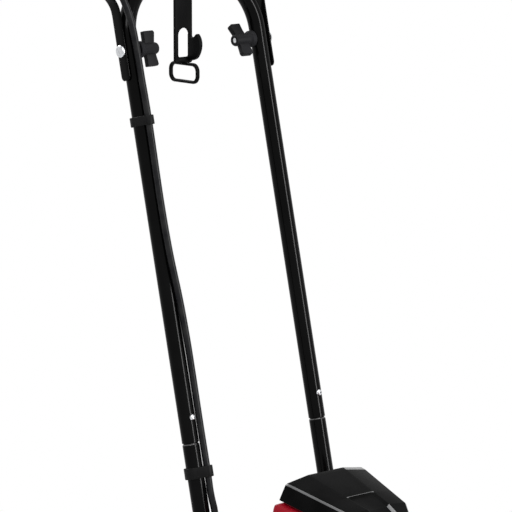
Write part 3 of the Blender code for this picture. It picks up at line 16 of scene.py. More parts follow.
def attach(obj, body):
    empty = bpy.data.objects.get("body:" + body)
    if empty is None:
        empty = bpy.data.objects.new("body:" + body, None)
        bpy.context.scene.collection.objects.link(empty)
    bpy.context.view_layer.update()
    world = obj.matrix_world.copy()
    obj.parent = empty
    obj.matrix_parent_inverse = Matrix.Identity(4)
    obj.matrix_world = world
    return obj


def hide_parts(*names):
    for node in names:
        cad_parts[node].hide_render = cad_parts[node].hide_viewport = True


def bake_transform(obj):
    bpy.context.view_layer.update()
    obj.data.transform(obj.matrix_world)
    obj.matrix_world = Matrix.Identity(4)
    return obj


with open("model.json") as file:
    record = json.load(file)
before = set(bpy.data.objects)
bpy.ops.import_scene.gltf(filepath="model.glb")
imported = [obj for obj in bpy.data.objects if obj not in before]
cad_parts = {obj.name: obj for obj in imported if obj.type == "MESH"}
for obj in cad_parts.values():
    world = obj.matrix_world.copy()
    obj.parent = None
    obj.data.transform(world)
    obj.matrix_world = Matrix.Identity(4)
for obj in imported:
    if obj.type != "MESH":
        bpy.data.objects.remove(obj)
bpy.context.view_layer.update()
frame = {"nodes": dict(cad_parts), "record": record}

# Places taken from the frame
JOINTS = {joint["name"]: joint for joint in frame["record"]["behaviour"]["joints"]}
FOLD = Vector(JOINTS["handle_fold"]["pos_m"])
TINE_AXIS = Vector(JOINTS["tine_spin"]["pos_m"])
HOOK_AXIS = Vector(JOINTS["hook_swing"]["pos_m"])
CARRIER_AXIS = Vector(JOINTS["wheel_bracket_swing"]["pos_m"])

# Clearance between seats, and the middle tube's route
GAP = 0.0003
LEAN = radians(13.16)
PIVOT_S = 0.7425
TRACK = 0.220
HALF_TRACK = TRACK / 2
TUBE_RADIUS = 0.011
TUBE_WALL = 0.0012
ARCH_RADIUS = 0.078
ARCH_TOP_S = 0.8345

# Lower tubes, sleeve joints and bolts
NECK_RADIUS = 0.0094
SLEEVE_S = 0.2378
SLEEVE_BOLT_S = 0.2696
LOWER_TUBE_TOP = 0.305
TUBE_BOLT_S = 0.024
HEXAGON_ACROSS = 0.0124
KNOB_TURNS = {"right": 0.0, "left": radians(-24)}

# Motor lead with its clips and glands
LEAD_RADIUS = 0.0045
LEAD_BORE = 0.0051
CLIP_LOW_S = 0.200
CLIP_HIGH_S = 0.6512
CLIP_WALL = 0.0030
HOUSING_GLAND_X = -0.046
HOUSING_GLAND_Z = 0.300
BOX_GLAND_X = -0.1610
BOX_GLAND_Y = -0.0135

# Upper handle with its grip, bail and switch box
LEG_INNER_X = 0.1214
LEG_FLAT = 0.0036
LEG_FLAT_WIDTH = 0.0165
LEG_END = 0.038
HANDLE_HALF = 0.186
HANDLE_TOP = 0.280
GRIP_RADIUS = 0.0155
GRIP_HALF = 0.132
BAIL_AXIS_U = 0.212
BAIL_ARM = 0.050
BAIL_HALF = 0.143
BAIL_RADIUS = 0.004
BAIL_OPEN = radians(45)
BOX_X = (0.150, 0.206)
BOX_V = (-0.026, 0.030)
BOX_U = (0.174, 0.237)
BOX_WALL = 0.0025
BUTTON_U = 0.196
BUTTON_X = -0.178
INLET_U = 0.199
HOOK_X = 0.0005

# Deck and motor housing
PLATE_Z = 0.224
PLATE_THICK = 0.003
SHELL_BOTTOM = 0.2340
SHELL_WALL = 0.0025
GROOVE_DEPTH = 0.0030
GROOVE_HEIGHT = 0.0026
GROOVE_TOP = 0.0030
VENTS = 6
VENT_FIRST_Y = 0.042
VENT_PITCH = 0.013
VENT_Z = 0.2935
HOOD_REAR_Y = 0.0706
HOOD_REAR_TILT = 0.351
HOOD_REAR_RIM_Y = 0.0813
HOUSING_REAR_Y = HOOD_REAR_RIM_Y + 0.009
HOOD_FRONT_Y = -0.0545
HOOD_BREAK_Y = -0.0244
HOOD_HALF = 0.0669
HOOD_Z = 0.4312
HOOD_TAPER = 0.188
HOOD_SLOPE = 0.264
HOOD_BAND = 0.025
RIDGE_HALF = 0.0302
RIDGE_TAPER = 0.113
RIDGE_Z = 0.437
RIDGE_SLOPE = 0.298
PANEL_Y = 0.0069
MOTOR_Y = 0.00925
MOTOR_BEARINGS = {"lower": (0.2150, 0.2240), "upper": (0.3790, 0.3870)}

# Tines, gear leg and guard
TINE_Z = 0.100
TINE_RADIUS = 0.100
TINE_SHAFT_RADIUS = 0.010
TINE_SHAFT_HALF = 0.197
ROTOR_SPAN = 0.080
ROTORS = (("inner", 0.0320, 0.0), ("outer", 0.1125, radians(45)))
ROTOR_PIN_X = 0.1850
HUB_RADIUS = 0.0140
BLADE_REACH = 0.031
BLADE_THICK = 0.004
GUARD_RADIUS = 0.115
GUARD_WALL = 0.003
GUARD_HALF = 0.206

# Transport wheels
WHEEL_RADIUS = 0.075
WHEEL_Y = 0.222
WHEEL_X = 0.098
WHEEL_HALF_WIDTH = 0.019
AXLE_RADIUS = 0.006
BRACKET_PIVOT_Y = 0.150
BRACKET_PIVOT_Z = 0.203
BRACKET_ARM_X = 0.0700
CHEEK_X = 0.0665
LOCK_REACH = 0.038
LOCK_KNOB_RADIUS = 0.0150
LOBES = 5
LOBE_HEIGHT = 0.0022

# Frames of the groups
TUBES = Matrix.Translation(FOLD) @ Matrix.Rotation(-LEAN, 4, "X") @ Matrix.Translation((0, 0, -PIVOT_S))
HANDLE = TUBES @ Matrix.Translation((0, 0, PIVOT_S))
UNIT = Matrix.Translation((0, TINE_AXIS.y, 0))
HOOK = Matrix.Translation(HOOK_AXIS)
CARRIER = Matrix.Translation(CARRIER_AXIS)
TINES = UNIT @ Matrix.Translation((0, 0, TINE_Z))

# Camera, fitted to the photograph
AZIMUTH = radians(42)
ELEVATION = radians(10)
FOCAL_PIXELS = 3205
IMAGE_PIXELS = 512
PIXELS_PER_METRE = 780
SENSOR = 36.0
TARGET = Vector((0.0, 0.203 + TINE_AXIS.y, 0.696))
DISTANCE = FOCAL_PIXELS / PIXELS_PER_METRE

LIGHT_AIM = (0, 0, 0.65)

# The operator's right is towards -x
SIDES = ((-1, "right"), (1, "left"))


# Material helpers


def add_node(tree, kind, **settings):
    """A node with its settings, of which one that is another node's output is linked."""
    node = tree.nodes.new(kind)
    for key, value in settings.items():
        if isinstance(value, bpy.types.NodeSocket):
            tree.links.new(value, node.inputs[key])
        elif key in node.inputs:
            node.inputs[key].default_value = value
        else:
            setattr(node, key, value)
    return node


def object_place(tree):
    """The place in the object's own coordinates."""
    return add_node(tree, "ShaderNodeTexCoord").outputs["Object"]


def object_noise(tree, scale, detail=3.0, stretch=(1, 1, 1)):
    """Noise that may be stretched along an axis."""
    place = add_node(tree, "ShaderNodeMapping", Vector=object_place(tree), Scale=stretch).outputs["Vector"]
    return add_node(tree, "ShaderNodeTexNoise", Vector=place, Scale=scale, Detail=detail).outputs["Fac"]


def laminations(tree):
    """Thin lines across the motor's axis."""
    look = {"wave_type": "BANDS", "bands_direction": "Z", "Scale": 160.0, "Distortion": 0.4}
    return add_node(tree, "ShaderNodeTexWave", Vector=object_place(tree), **look).outputs["Fac"]


def foam_pits(tree):
    """The small pits of closed cells."""
    return add_node(tree, "ShaderNodeTexVoronoi", Vector=object_place(tree), Scale=950.0).outputs["Distance"]


def texture(tree, source):
    """Noise from its scale, detail and stretch, or the texture that a function makes."""
    return source(tree) if callable(source) else object_noise(tree, *source)


def surface(name, dark, light, rough, cloud, metallic=0.0, gloss=0.5, grain=None, bump=None):
    """A material whose colour follows the cloud texture.

    rough is one roughness, or a pair between which the cloud drives it. bump is a distance and a strength,
    and its height is the grain texture, or else the cloud.
    """
    low, high = rough if isinstance(rough, tuple) else (rough, rough)
    material = bpy.data.materials.new(name)
    material.use_nodes = True
    tree = material.node_tree
    shader = tree.nodes["Principled BSDF"]
    shader.inputs["Roughness"].default_value = low
    shader.inputs["Metallic"].default_value = metallic
    shader.inputs["Specular IOR Level"].default_value = gloss
    clouds = texture(tree, cloud)
    ramp = add_node(tree, "ShaderNodeValToRGB", Fac=clouds)
    for stop, position, color in zip(ramp.color_ramp.elements, (0.35, 0.65), (dark, light)):
        stop.position = position
        stop.color = (*color, 1)
    shader.inputs["Base Color"].default_value = (*light, 1)
    tree.links.new(ramp.outputs["Color"], shader.inputs["Base Color"])
    if low < high:
        span = {"From Min": 0.3, "From Max": 0.7, "To Min": low, "To Max": high}
        spread = add_node(tree, "ShaderNodeMapRange", Value=clouds, **span)
        tree.links.new(spread.outputs["Result"], shader.inputs["Roughness"])
    if bump:
        height = texture(tree, grain) if grain else clouds
        relief = add_node(tree, "ShaderNodeBump", Height=height, Distance=bump[0], Strength=bump[1])
        tree.links.new(relief.outputs["Normal"], shader.inputs["Normal"])
    return material


def grey(level):
    return (level, level, level)


# Materials


def tube_paint(name, gloss):
    """Gloss black enamel: a faint orange peel and slightly uneven gloss."""
    look = {"gloss": gloss, "grain": (420, 2.0), "bump": (0.00004, 0.3)}
    return surface(name, grey(0.0006), grey(0.0016), (0.10, 0.15), (14,), **look)


def grained_plastic(name, dark, light, roughness, gloss=0.15, grain=900, depth=0.00012):
    """Moulded plastic with a fine spark eroded grain."""
    rough = (roughness - 0.06, roughness + 0.08)
    return surface(name, dark, light, rough, (22, 4.0), gloss=gloss, grain=(grain, 2.0), bump=(depth, 0.6))


def red_plastic():
    """Smooth moulded plastic with slight waviness."""
    look = {"gloss": 0.12, "grain": (60, 2.0), "bump": (0.00005, 0.3)}
    return surface("red_smooth", (0.230, 0.003, 0.010), (0.330, 0.005, 0.014), (0.25, 0.37), (18,), **look)


def zinc_plating():
    """Bright zinc with a soft mottled sheen."""
    return surface("zinc_plating", (0.44, 0.45, 0.46), (0.60, 0.61, 0.63), (0.18, 0.34), (260,), 1.0)


def turned_steel():
    """Bare machined steel, oiled, with fine lathe marks round the lateral axis."""
    dark, light, marks = (0.27, 0.27, 0.28), (0.42, 0.42, 0.43), (120, 2.0, (14, 1, 1))
    return surface("turned_steel", dark, light, (0.24, 0.40), marks, 1.0, bump=(0.00003, 0.5))


def tine_steel():
    """Hardened tine steel: dark scale with worn brighter patches."""
    dark, light = (0.055, 0.055, 0.060), (0.16, 0.16, 0.165)
    return surface("tine_steel", dark, light, (0.36, 0.58), (36, 6.0), 0.85, bump=(0.00025, 0.4))


def cast_metal():
    """Die cast alloy with a grainy skin."""
    dark, light = (0.36, 0.37, 0.38), (0.54, 0.55, 0.56)
    return surface("cast_metal", dark, light, (0.42, 0.62), (320, 5.0), 1.0, bump=(0.0003, 0.5))


def bronze_metal():
    return surface("bronze_metal", (0.38, 0.23, 0.09), (0.56, 0.36, 0.15), (0.28, 0.44), (90, 4.0), 1.0)


def laminated_steel():
    """Stacked laminations."""
    dark, light = (0.15, 0.15, 0.16), (0.31, 0.31, 0.32)
    return surface("laminated_steel", dark, light, 0.45, laminations, 1.0, bump=(0.0001, 0.6))


def foam_rubber():
    """Closed cell foam with small pits."""
    return surface("foam_rubber", grey(0.011), grey(0.022), 0.95, (40,), grain=foam_pits, bump=(0.0005, 0.7))


def soft_rubber(name, roughness, gloss=0.25):
    dark, rough = (0.005, 0.005, 0.006), (roughness - 0.08, roughness + 0.08)
    return surface(name, dark, grey(0.012), rough, (60, 4.0), gloss=gloss, bump=(0.0001, 0.3))


def carbon_block():
    return surface("carbon_block", grey(0.020), grey(0.045), 0.6, (700,), 0.2)


def floor_paint():
    return surface("floor_paint", grey(0.84), grey(0.87), 0.6, (2.0, 2.0))


MATERIALS = {
    "paint": tube_paint("tube_paint", 0.06),
    "paint_rim": tube_paint("tube_paint_rim", 1.0),
    "black": grained_plastic("black_grained", (0.007, 0.007, 0.008), (0.011, 0.011, 0.012), 0.42),
    "clip": grained_plastic("clip_grained", grey(0.004), grey(0.008), 0.45, 0.06),
    "hook": grained_plastic("hook_grained", grey(0.002), grey(0.0035), 0.42, 0.03),
    "hood": grained_plastic("hood_grained", grey(0.003), grey(0.005), 0.32, 0.01, 1200, 0.00005),
    # hood_edge is a painted highlight: a grey far lighter than the hood's, for faces where lamps show their
    # reflection
    "hood_edge": grained_plastic("hood_edge", grey(0.07), grey(0.10), 0.24, 0.5, 1200, 0.00003),
    "knob": grained_plastic("knob_grained", grey(0.006), (0.010, 0.010, 0.011), 0.50, 0.06, 800, 0.00015),
    "red": red_plastic(),
    "zinc": zinc_plating(),
    "steel": turned_steel(),
    "tine": tine_steel(),
    "cast": cast_metal(),
    "bronze": bronze_metal(),
    "lamination": laminated_steel(),
    "foam": foam_rubber(),
    "rubber": soft_rubber("black_rubber", 0.72),
    "tyre": soft_rubber("tyre_rubber", 0.80),
    "cable": soft_rubber("cable_sheath", 0.34, 0.10),
    "carbon": carbon_block(),
    "floor": floor_paint(),
}

# The slots of the record whose material has another name
SLOT_MATERIALS = {
    "gloss_black_paint": "paint",
    "black_plastic": "black",
    "knob_plastic": "knob",
    "red_plastic": "red",
    "grey_steel": "steel",
    "cast_alloy": "cast",
    "wheel_plastic": "tyre",
}
SLOTS = {part["node"]: part["material_slot"] for part in frame["record"]["subparts"]}
BODY_OF = {node: body for body, nodes in frame["record"]["behaviour"]["bodies"].items() for node in nodes}


def slot_material(node):
    return MATERIALS[SLOT_MATERIALS.get(SLOTS[node], SLOTS[node])]


def dress_nodes():
    """Every part of the frame gets the material of its slot, and the rotors that of the tines."""
    for name, node in frame["nodes"].items():
        node.data.materials.clear()
        rotor = name.startswith("tine_rotor")
        node.data.materials.append(MATERIALS["tine"] if rotor else slot_material(name))


# Mesh helpers


def store(builder, angle=34):
    """The builder's mesh, smooth but for the edges sharper than an angle."""
    mesh = bpy.data.meshes.new("shape")
    builder.to_mesh(mesh)
    builder.free()
    return shade(mesh, angle)


def shade(mesh, angle):
    mesh.shade_smooth()
    mesh.set_sharp_from_angle(angle=radians(angle))
    return mesh


def finish_mesh(builder, angle=34):
    bmesh.ops.recalc_face_normals(builder, faces=builder.faces)
    return store(builder, angle)


def show(item):
    bpy.context.scene.collection.objects.link(item)
    bpy.context.view_layer.update()


def piece(node, kind, mesh, matrix=Matrix(), material=None, rides=True, edges=None, stem=None):
    """A detailed piece that rides on the body of a CAD node and is shown in its place.

    It has the look of the node's slot unless a material is given, and is named after the node or the stem.
    """
    name = f"{stem or node}_{kind}"
    item = bpy.data.objects.new(name, mesh)
    mesh.name = name
    mesh.materials.clear()
    mesh.materials.append(MATERIALS[material] if material else slot_material(node))
    if edges:
        mesh.materials.append(MATERIALS[edges])
        layer = mesh.attributes["edge_face"]
        mesh.polygons.foreach_set("material_index", [mark.value for mark in layer.data])
        mesh.attributes.remove(layer)
    item.matrix_world = matrix
    show(item)
    if rides:
        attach(item, BODY_OF[node])
    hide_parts(node)
    return item


def mark_faces(mesh, chosen):
    """Mark the faces whose middle and normal are chosen, for a second material."""
    layer = mesh.attributes.new("edge_face", "INT", "FACE")
    for face in mesh.polygons:
        layer.data[face.index].value = int(bool(chosen(face.center, face.normal)))


def join(*meshes):
    """One mesh from several, which may pass through each other."""
    builder = bmesh.new()
    for mesh in meshes:
        builder.from_mesh(mesh)
    return store(builder)


def evaluated_mesh(item):
    bpy.context.view_layer.update()
    graph = bpy.context.evaluated_depsgraph_get()
    return bpy.data.meshes.new_from_object(item.evaluated_get(graph))


def carve(mesh, cutters, wall=0.0, bevel=0.0, limit=30, angle=34):
    """The mesh, with a wall first if one is asked for, less the cutters, and with its edges broken."""
    held = [bpy.data.objects.new("work", shape) for shape in (mesh, *cutters)]
    for item in held:
        show(item)
    base = held[0]
    if wall:
        shell = base.modifiers.new("Wall", "SOLIDIFY")
        shell.thickness = wall
        shell.offset = -1
    for item in held[1:]:
        cut = base.modifiers.new("Cut", "BOOLEAN")
        cut.operation = "DIFFERENCE"
        cut.solver = "EXACT"
        cut.object = item
    if bevel:
        edges = base.modifiers.new("Edges", "BEVEL")
        edges.width = bevel
        edges.segments = 2
        edges.limit_method = "ANGLE"
        edges.angle_limit = radians(limit)
    result = evaluated_mesh(base)
    for item in held:
        bpy.data.objects.remove(item, do_unlink=True)
    result.materials.clear()
    return shade(result, angle)


def bridge(builder, first, second):
    """A band of faces between two closed rows of vertices, of which one may be a single vertex."""
    count = max(len(first), len(second))
    for k in range(count):
        n = (k + 1) % count
        corners = [first[k % len(first)], first[n % len(first)]]
        corners += [second[n % len(second)], second[k % len(second)]]
        builder.faces.new(list(dict.fromkeys(corners)))


def block(size, centre, bevel=0.0, segments=2):
    builder = bmesh.new()
    bmesh.ops.create_cube(builder, size=1.0)
    bmesh.ops.scale(builder, vec=size, verts=builder.verts)
    if bevel:
        edges = builder.edges[:]
        bmesh.ops.bevel(builder, geom=edges, offset=bevel, segments=segments, profile=0.5, affect="EDGES")
    bmesh.ops.translate(builder, vec=centre, verts=builder.verts)
    return finish_mesh(builder)


def circle(radius, centre=(0, 0), sides=40, start=0.0, bend=2 * pi):
    """The points of a circle, or of an arc with both its ends."""
    whole = abs(bend - 2 * pi) < 1e-9
    steps = sides if whole else sides - 1
    angles = [start + bend * k / steps for k in range(sides)]
    return [(centre[0] + radius * cos(a), centre[1] + radius * sin(a)) for a in angles]


def mirrored(profile):
    """A profile of (radius, height) points and its mirror image in the height."""
    return profile + [(radius, -height) for radius, height in reversed(profile)]


def turned(profile, sides=48, start=(0, 0, 0), axis=(0, 0, 1), angle=34):
    """A solid of revolution from (radius, height) points, closed to a ring if it starts off the axis."""
    builder = bmesh.new()
    rows = []
    for radius, height in profile:
        ring = circle(radius, sides=sides) if radius else [(0, 0)]
        rows.append([builder.verts.new((x, y, height)) for x, y in ring])
    if profile[0][0]:
        rows.append(rows[0])
    for first, second in zip(rows, rows[1:]):
        bridge(builder, first, second)
    turn = Vector(axis).to_track_quat("Z", "Y").to_matrix().to_4x4()
    bmesh.ops.transform(builder, matrix=Matrix.Translation(start) @ turn, verts=builder.verts)
    return finish_mesh(builder, angle)


def rod(radius, start, end, sides=32, chamfer=0.0):
    start, end = Vector(start), Vector(end)
    length = (end - start).length
    profile = [(radius, 0), (radius, length)]
    if chamfer:
        face = radius - chamfer
        profile = [(face, 0), (radius, chamfer), (radius, length - chamfer), (face, length)]
    return turned([(0, 0), *profile, (0, length)], sides, start, end - start)


def arc(centre, first, last, steps):
    """Points round a centre from one spoke to another."""
    bend = first.angle(last)
    shares = [k / steps for k in range(steps + 1)]
    spokes = [first * sin((1 - t) * bend) + last * sin(t * bend) for t in shares]
    return [centre + spoke / sin(bend) for spoke in spokes]


def fillet(points, radii, steps=4):
    """The points of a plane outline with the given corner radii, both as (x, y)."""
    out = []
    for k, (corner, radius) in enumerate(zip(points, radii)):
        here = Vector(corner)
        u = Vector(points[k - 1]) - here
        v = Vector(points[(k + 1) % len(points)]) - here
        half = u.angle(v) / 2
        reach = min(radius / tan(half), 0.49 * u.length, 0.49 * v.length)
        u.normalize()
        v.normalize()
        centre = here + (u + v).normalized() * (reach * tan(half) / sin(half))
        first, last = here + u * reach - centre, here + v * reach - centre
        if reach < 1e-6 or first.angle(last) < 0.01:
            out.append(tuple(here))
        else:
            out += [tuple(point) for point in arc(centre, first, last, steps)]
    return out


def rounded(points, radii, step=radians(6)):
    """A polyline in space whose inner corners are arcs."""
    points = [Vector(p) for p in points]
    path = [points[0]]
    for before, corner, after, radius in zip(points, points[1:], points[2:], radii):
        u = (before - corner).normalized()
        v = (after - corner).normalized()
        half = u.angle(v) / 2
        centre = corner + (u + v).normalized() * (radius / sin(half))
        first = corner + u * (radius / tan(half)) - centre
        last = corner + v * (radius / tan(half)) - centre
        path += arc(centre, first, last, max(2, ceil(first.angle(last) / step)))
    return path + [points[-1]]


def between(a, b, c, d, t):
    """The smooth curve from b to c at a share of the way, where a and d lie beyond them."""
    return 0.5 * (2 * b + (c - a) * t + (2 * a - 5 * b + 4 * c - d) * t**2 + (3 * b - a - 3 * c + d) * t**3)


def smooth_route(points, spacing):
    """A smooth run through points in space, with points at about a spacing."""
    points = [Vector(p) for p in points]
    ends = [2 * points[0] - points[1]] + points + [2 * points[-1] - points[-2]]
    path = []
    for a, b, c, d in zip(ends, ends[1:], ends[2:], ends[3:]):
        steps = max(1, round((c - b).length / spacing))
        path += [between(a, b, c, d, k / steps) for k in range(steps)]
    return path + [points[-1]]


def blended(stations, parts):
    """Stations with evenly placed in-between ones, smoothly eased, for a softer loft."""
    out = []
    padded = [stations[0], *stations, stations[-1]]
    for near in zip(padded, padded[1:], padded[2:], padded[3:]):
        for k in range(parts):
            out.append(tuple(between(*values, k / parts) for values in zip(*near)))
    return out + [stations[-1]]


def sweep(path, radius, sides=32, wall=0.0):
    """A round bar, or with a wall a pipe whose ends show it, along a path of points."""
    path = [Vector(p) for p in path]
    side = (path[1] - path[0]).orthogonal().normalized()
    builder = bmesh.new()
    outer, inner = [], []
    for k, place in enumerate(path):
        tangent = (path[min(k + 1, len(path) - 1)] - path[max(k - 1, 0)]).normalized()
        side = (side - tangent * side.dot(tangent)).normalized()
        other = tangent.cross(side)
        ring = [side * x + other * y for x, y in circle(1.0, sides=sides)]
        outer.append([builder.verts.new(place + v * radius) for v in ring])
        if wall:
            inner.append([builder.verts.new(place + v * (radius - wall)) for v in ring])
    for first, second in list(zip(outer, outer[1:])) + list(zip(inner, inner[1:])):
        bridge(builder, first, second)
    for end in (0, -1):
        if wall:
            bridge(builder, outer[end], inner[end])
        else:
            builder.faces.new(outer[end])
    return finish_mesh(builder, 40)


PLANES = {
    "XY": Matrix.Identity(4),
    "YZ": Matrix(((0, 0, 1, 0), (1, 0, 0, 0), (0, 1, 0, 0), (0, 0, 0, 1))),
    "XZ": Matrix(((1, 0, 0, 0), (0, 0, -1, 0), (0, 1, 0, 0), (0, 0, 0, 1))),
}


def slab(outlines, thickness, plane="XY", offset=0.0, edge=0.0):
    """A flat outline with holes, extruded about an offset, with rounded edges of the given radius."""
    curve = bpy.data.curves.new("outline", "CURVE")
    curve.dimensions = "2D"
    curve.fill_mode = "BOTH"
    curve.extrude = thickness / 2 - edge
    curve.bevel_depth = edge
    curve.bevel_resolution = 2
    curve.offset = -edge
    for outline in outlines:
        spline = curve.splines.new("POLY")
        spline.points.add(len(outline) - 1)
        for point, (x, y) in zip(spline.points, outline):
            point.co = (x, y, 0, 1)
        spline.use_cyclic_u = True
    item = bpy.data.objects.new("outline", curve)
    show(item)
    mesh = evaluated_mesh(item)
    bpy.data.objects.remove(item, do_unlink=True)
    builder = bmesh.new()
    builder.from_mesh(mesh)
    bpy.data.meshes.remove(mesh)
    bmesh.ops.remove_doubles(builder, verts=builder.verts, dist=1e-6)
    place = PLANES[plane] @ Matrix.Translation((0, 0, offset))
    bmesh.ops.transform(builder, matrix=place, verts=builder.verts)
    return finish_mesh(builder)


def loft(sections, angle=34):
    builder = bmesh.new()
    rows = [[builder.verts.new(p) for p in section] for section in sections]
    for first, second in zip(rows, rows[1:]):
        bridge(builder, first, second)
    builder.faces.new(rows[0])
    builder.faces.new(rows[-1])
    return finish_mesh(builder, angle)


# Tubes


def dress_tubes():
    """The bent middle tube, and the lower tubes with their necks, shoulders and open bores."""
    corners = [(-HALF_TRACK, 0, SLEEVE_S), (-HALF_TRACK, 0, ARCH_TOP_S)]
    corners += [(HALF_TRACK, 0, ARCH_TOP_S), (HALF_TRACK, 0, SLEEVE_S)]
    path = rounded(corners, (ARCH_RADIUS, ARCH_RADIUS), radians(3))
    piece("middle_frame", "tube", sweep(path, TUBE_RADIUS, 48, TUBE_WALL), TUBES)
    shoulder = SLEEVE_S - 0.0004
    rim = shoulder - 0.0024
    bore, neck_bore = TUBE_RADIUS - TUBE_WALL, NECK_RADIUS - TUBE_WALL
    profile = [(TUBE_RADIUS - 0.0004, 0), (TUBE_RADIUS, 0.0004), (TUBE_RADIUS, rim)]
    profile += [(TUBE_RADIUS - 0.0007, shoulder - 0.0010), (NECK_RADIUS, shoulder)]
    profile += [(NECK_RADIUS, LOWER_TUBE_TOP), (neck_bore, LOWER_TUBE_TOP), (neck_bore, shoulder - 0.0010)]
    profile += [(bore, shoulder - 0.0026), (bore, 0)]
    for side, name in SIDES:
        mesh = turned(profile, 48, (side * HALF_TRACK, 0, 0), angle=25)
        mark_faces(mesh, lambda at, normal: rim < at.z < shoulder + 0.0001)
        piece(f"lower_tube_{name}", "pipe", mesh, TUBES, edges="paint_rim")


def hexagon(low, high, edge=0.0005):
    """The profile of a hexagon nut or head from low to high, chamfered at both ends."""
    radius = HEXAGON_ACROSS / sqrt(3)
    flat = [(radius, low + edge * 0.6), (radius, high - edge * 0.6)]
    return [(0, low), (radius - edge, low), *flat, (radius - edge, high), (0, high)]


def dress_screws():
    """Pan headed screws at the sleeves and hexagon bolts at the feet of the tubes."""
    screw = [(0, 0.0014), (0.0010, 0.0015), (0.0014, 0.0031), (0.0024, 0.0029), (0.0034, 0.0021)]
    screw += [(0.0040, 0.0011), (0.0042, 0), (0.0025, 0), (0.0025, -0.0222), (0.0012, -0.0234), (0, -0.0234)]
    shank = [(0, 0.0001), (0.0039, 0.0001), (0.0039, -0.0294), (0.0034, -0.0299), (0, -0.0299)]
    for side, name in SIDES:
        mesh = turned(screw, 32, (side * HALF_TRACK, -TUBE_RADIUS - GAP, SLEEVE_BOLT_S), (0, -1, 0))
        piece(f"sleeve_bolt_{name}", name, mesh, TUBES, stem="sleeve_screw")
        start = (side * (HALF_TRACK + TUBE_RADIUS + GAP), 0, TUBE_BOLT_S)
        shapes = ((hexagon(0, 0.0045), 6), (hexagon(-0.0276, -0.0226), 6), (shank, 32))
        mesh = join(*(turned(profile, sides, start, (side, 0, 0)) for profile, sides in shapes))
        piece(f"tube_bolt_{name}", "hexagon", mesh, TUBES)


def dress_fold_bolts():
    """Domed bolts through the flattened legs and the middle tube."""
    head = LEG_INNER_X + LEG_FLAT + GAP
    angles = [radians(15 * k) for k in range(1, 7)]
    dome = [(0, 0.0042)] + [(0.0080 * sin(a), 0.0008 + 0.0034 * cos(a)) for a in angles]
    dome += [(0.0080, 0), (0.0039, 0), (0.0039, -0.0568), (0.0032, -0.0575), (0, -0.0575)]
    for side, name in SIDES:
        mesh = turned(dome, 48, (side * head, 0, PIVOT_S), (side, 0, 0))
        piece(f"fold_bolt_{name}", "dome", mesh, TUBES)


def dress_wing_knobs():
    """Hubs with two flared wings; the left one is a little turned."""
    hub = [(0.0043, 0.0004), (0.0043, 0.0325), (0.0058, 0.0325), (0.0070, 0.0318), (0.0078, 0.0300)]
    hub += [(0.0084, 0.0100), (0.0092, 0.0080), (0.0106, 0.0068), (0.0110, 0.0056), (0.0110, 0.0010)]
    hub += [(0.0104, 0.0004)]
    wing = [(0.0110, 0.0040), (0.0128, 0.0120), (0.0128, 0.0229), (0.0282, 0.0229), (0.0303, 0.0205)]
    wing += [(0.0292, 0.0150), (0.0270, 0.0040)]
    radii = (0, 0.004, 0.0012, 0.002, 0.002, 0.004, 0)
    for side, name in SIDES:
        meshes = [turned(hub, 48, axis=(-side, 0, 0))]
        for direction in (1, -1):
            outline = fillet([(-side * x, direction * z) for x, z in wing], radii, 3)
            meshes.append(carve(slab([outline], 0.0068, "XZ"), [], bevel=0.0012, limit=50))
        place = Matrix.Translation((side * (HALF_TRACK - TUBE_RADIUS), 0, PIVOT_S))
        matrix = TUBES @ place @ Matrix.Rotation(KNOB_TURNS[name], 4, "X")
        piece(f"wing_knob_{name}", "moulding", join(*meshes), matrix)


# Motor lead, its clips and its glands


def dress_clips():
    """Moulded clips round tube and lead, with a slit on the tube's far side."""
    centre = (-HALF_TRACK, 0)
    bore = LEAD_RADIUS + GAP
    places = {
        "cable_clip_lower": (CLIP_LOW_S - 0.0012, (0.0121, -0.0106), 0.0144),
        "cable_clip_upper": (CLIP_HIGH_S, (-0.0004, -0.0160), 0.012),
    }
    for name, (s, offset, height) in places.items():
        cable = (centre[0] + offset[0], offset[1])
        direction = atan2(offset[1], offset[0])
        outline = circle(TUBE_RADIUS + CLIP_WALL, centre, 36, direction + pi / 2, pi)
        outline += circle(bore + 0.0022, cable, 20, direction - pi / 2, pi)
        holes = [circle(TUBE_RADIUS + GAP, centre, 48), circle(bore, cable, 28)]
        mesh = slab([outline, *holes], height, "XY", s, edge=0.0007)
        reach = TUBE_RADIUS + 0.002
        slit = (centre[0] - reach * cos(direction), -reach * sin(direction))
        mesh = carve(mesh, [rod(0.0012, (*slit, s - 0.02), (*slit, s + 0.02), 16)])
        piece(name, "moulding", mesh, TUBES, "clip")


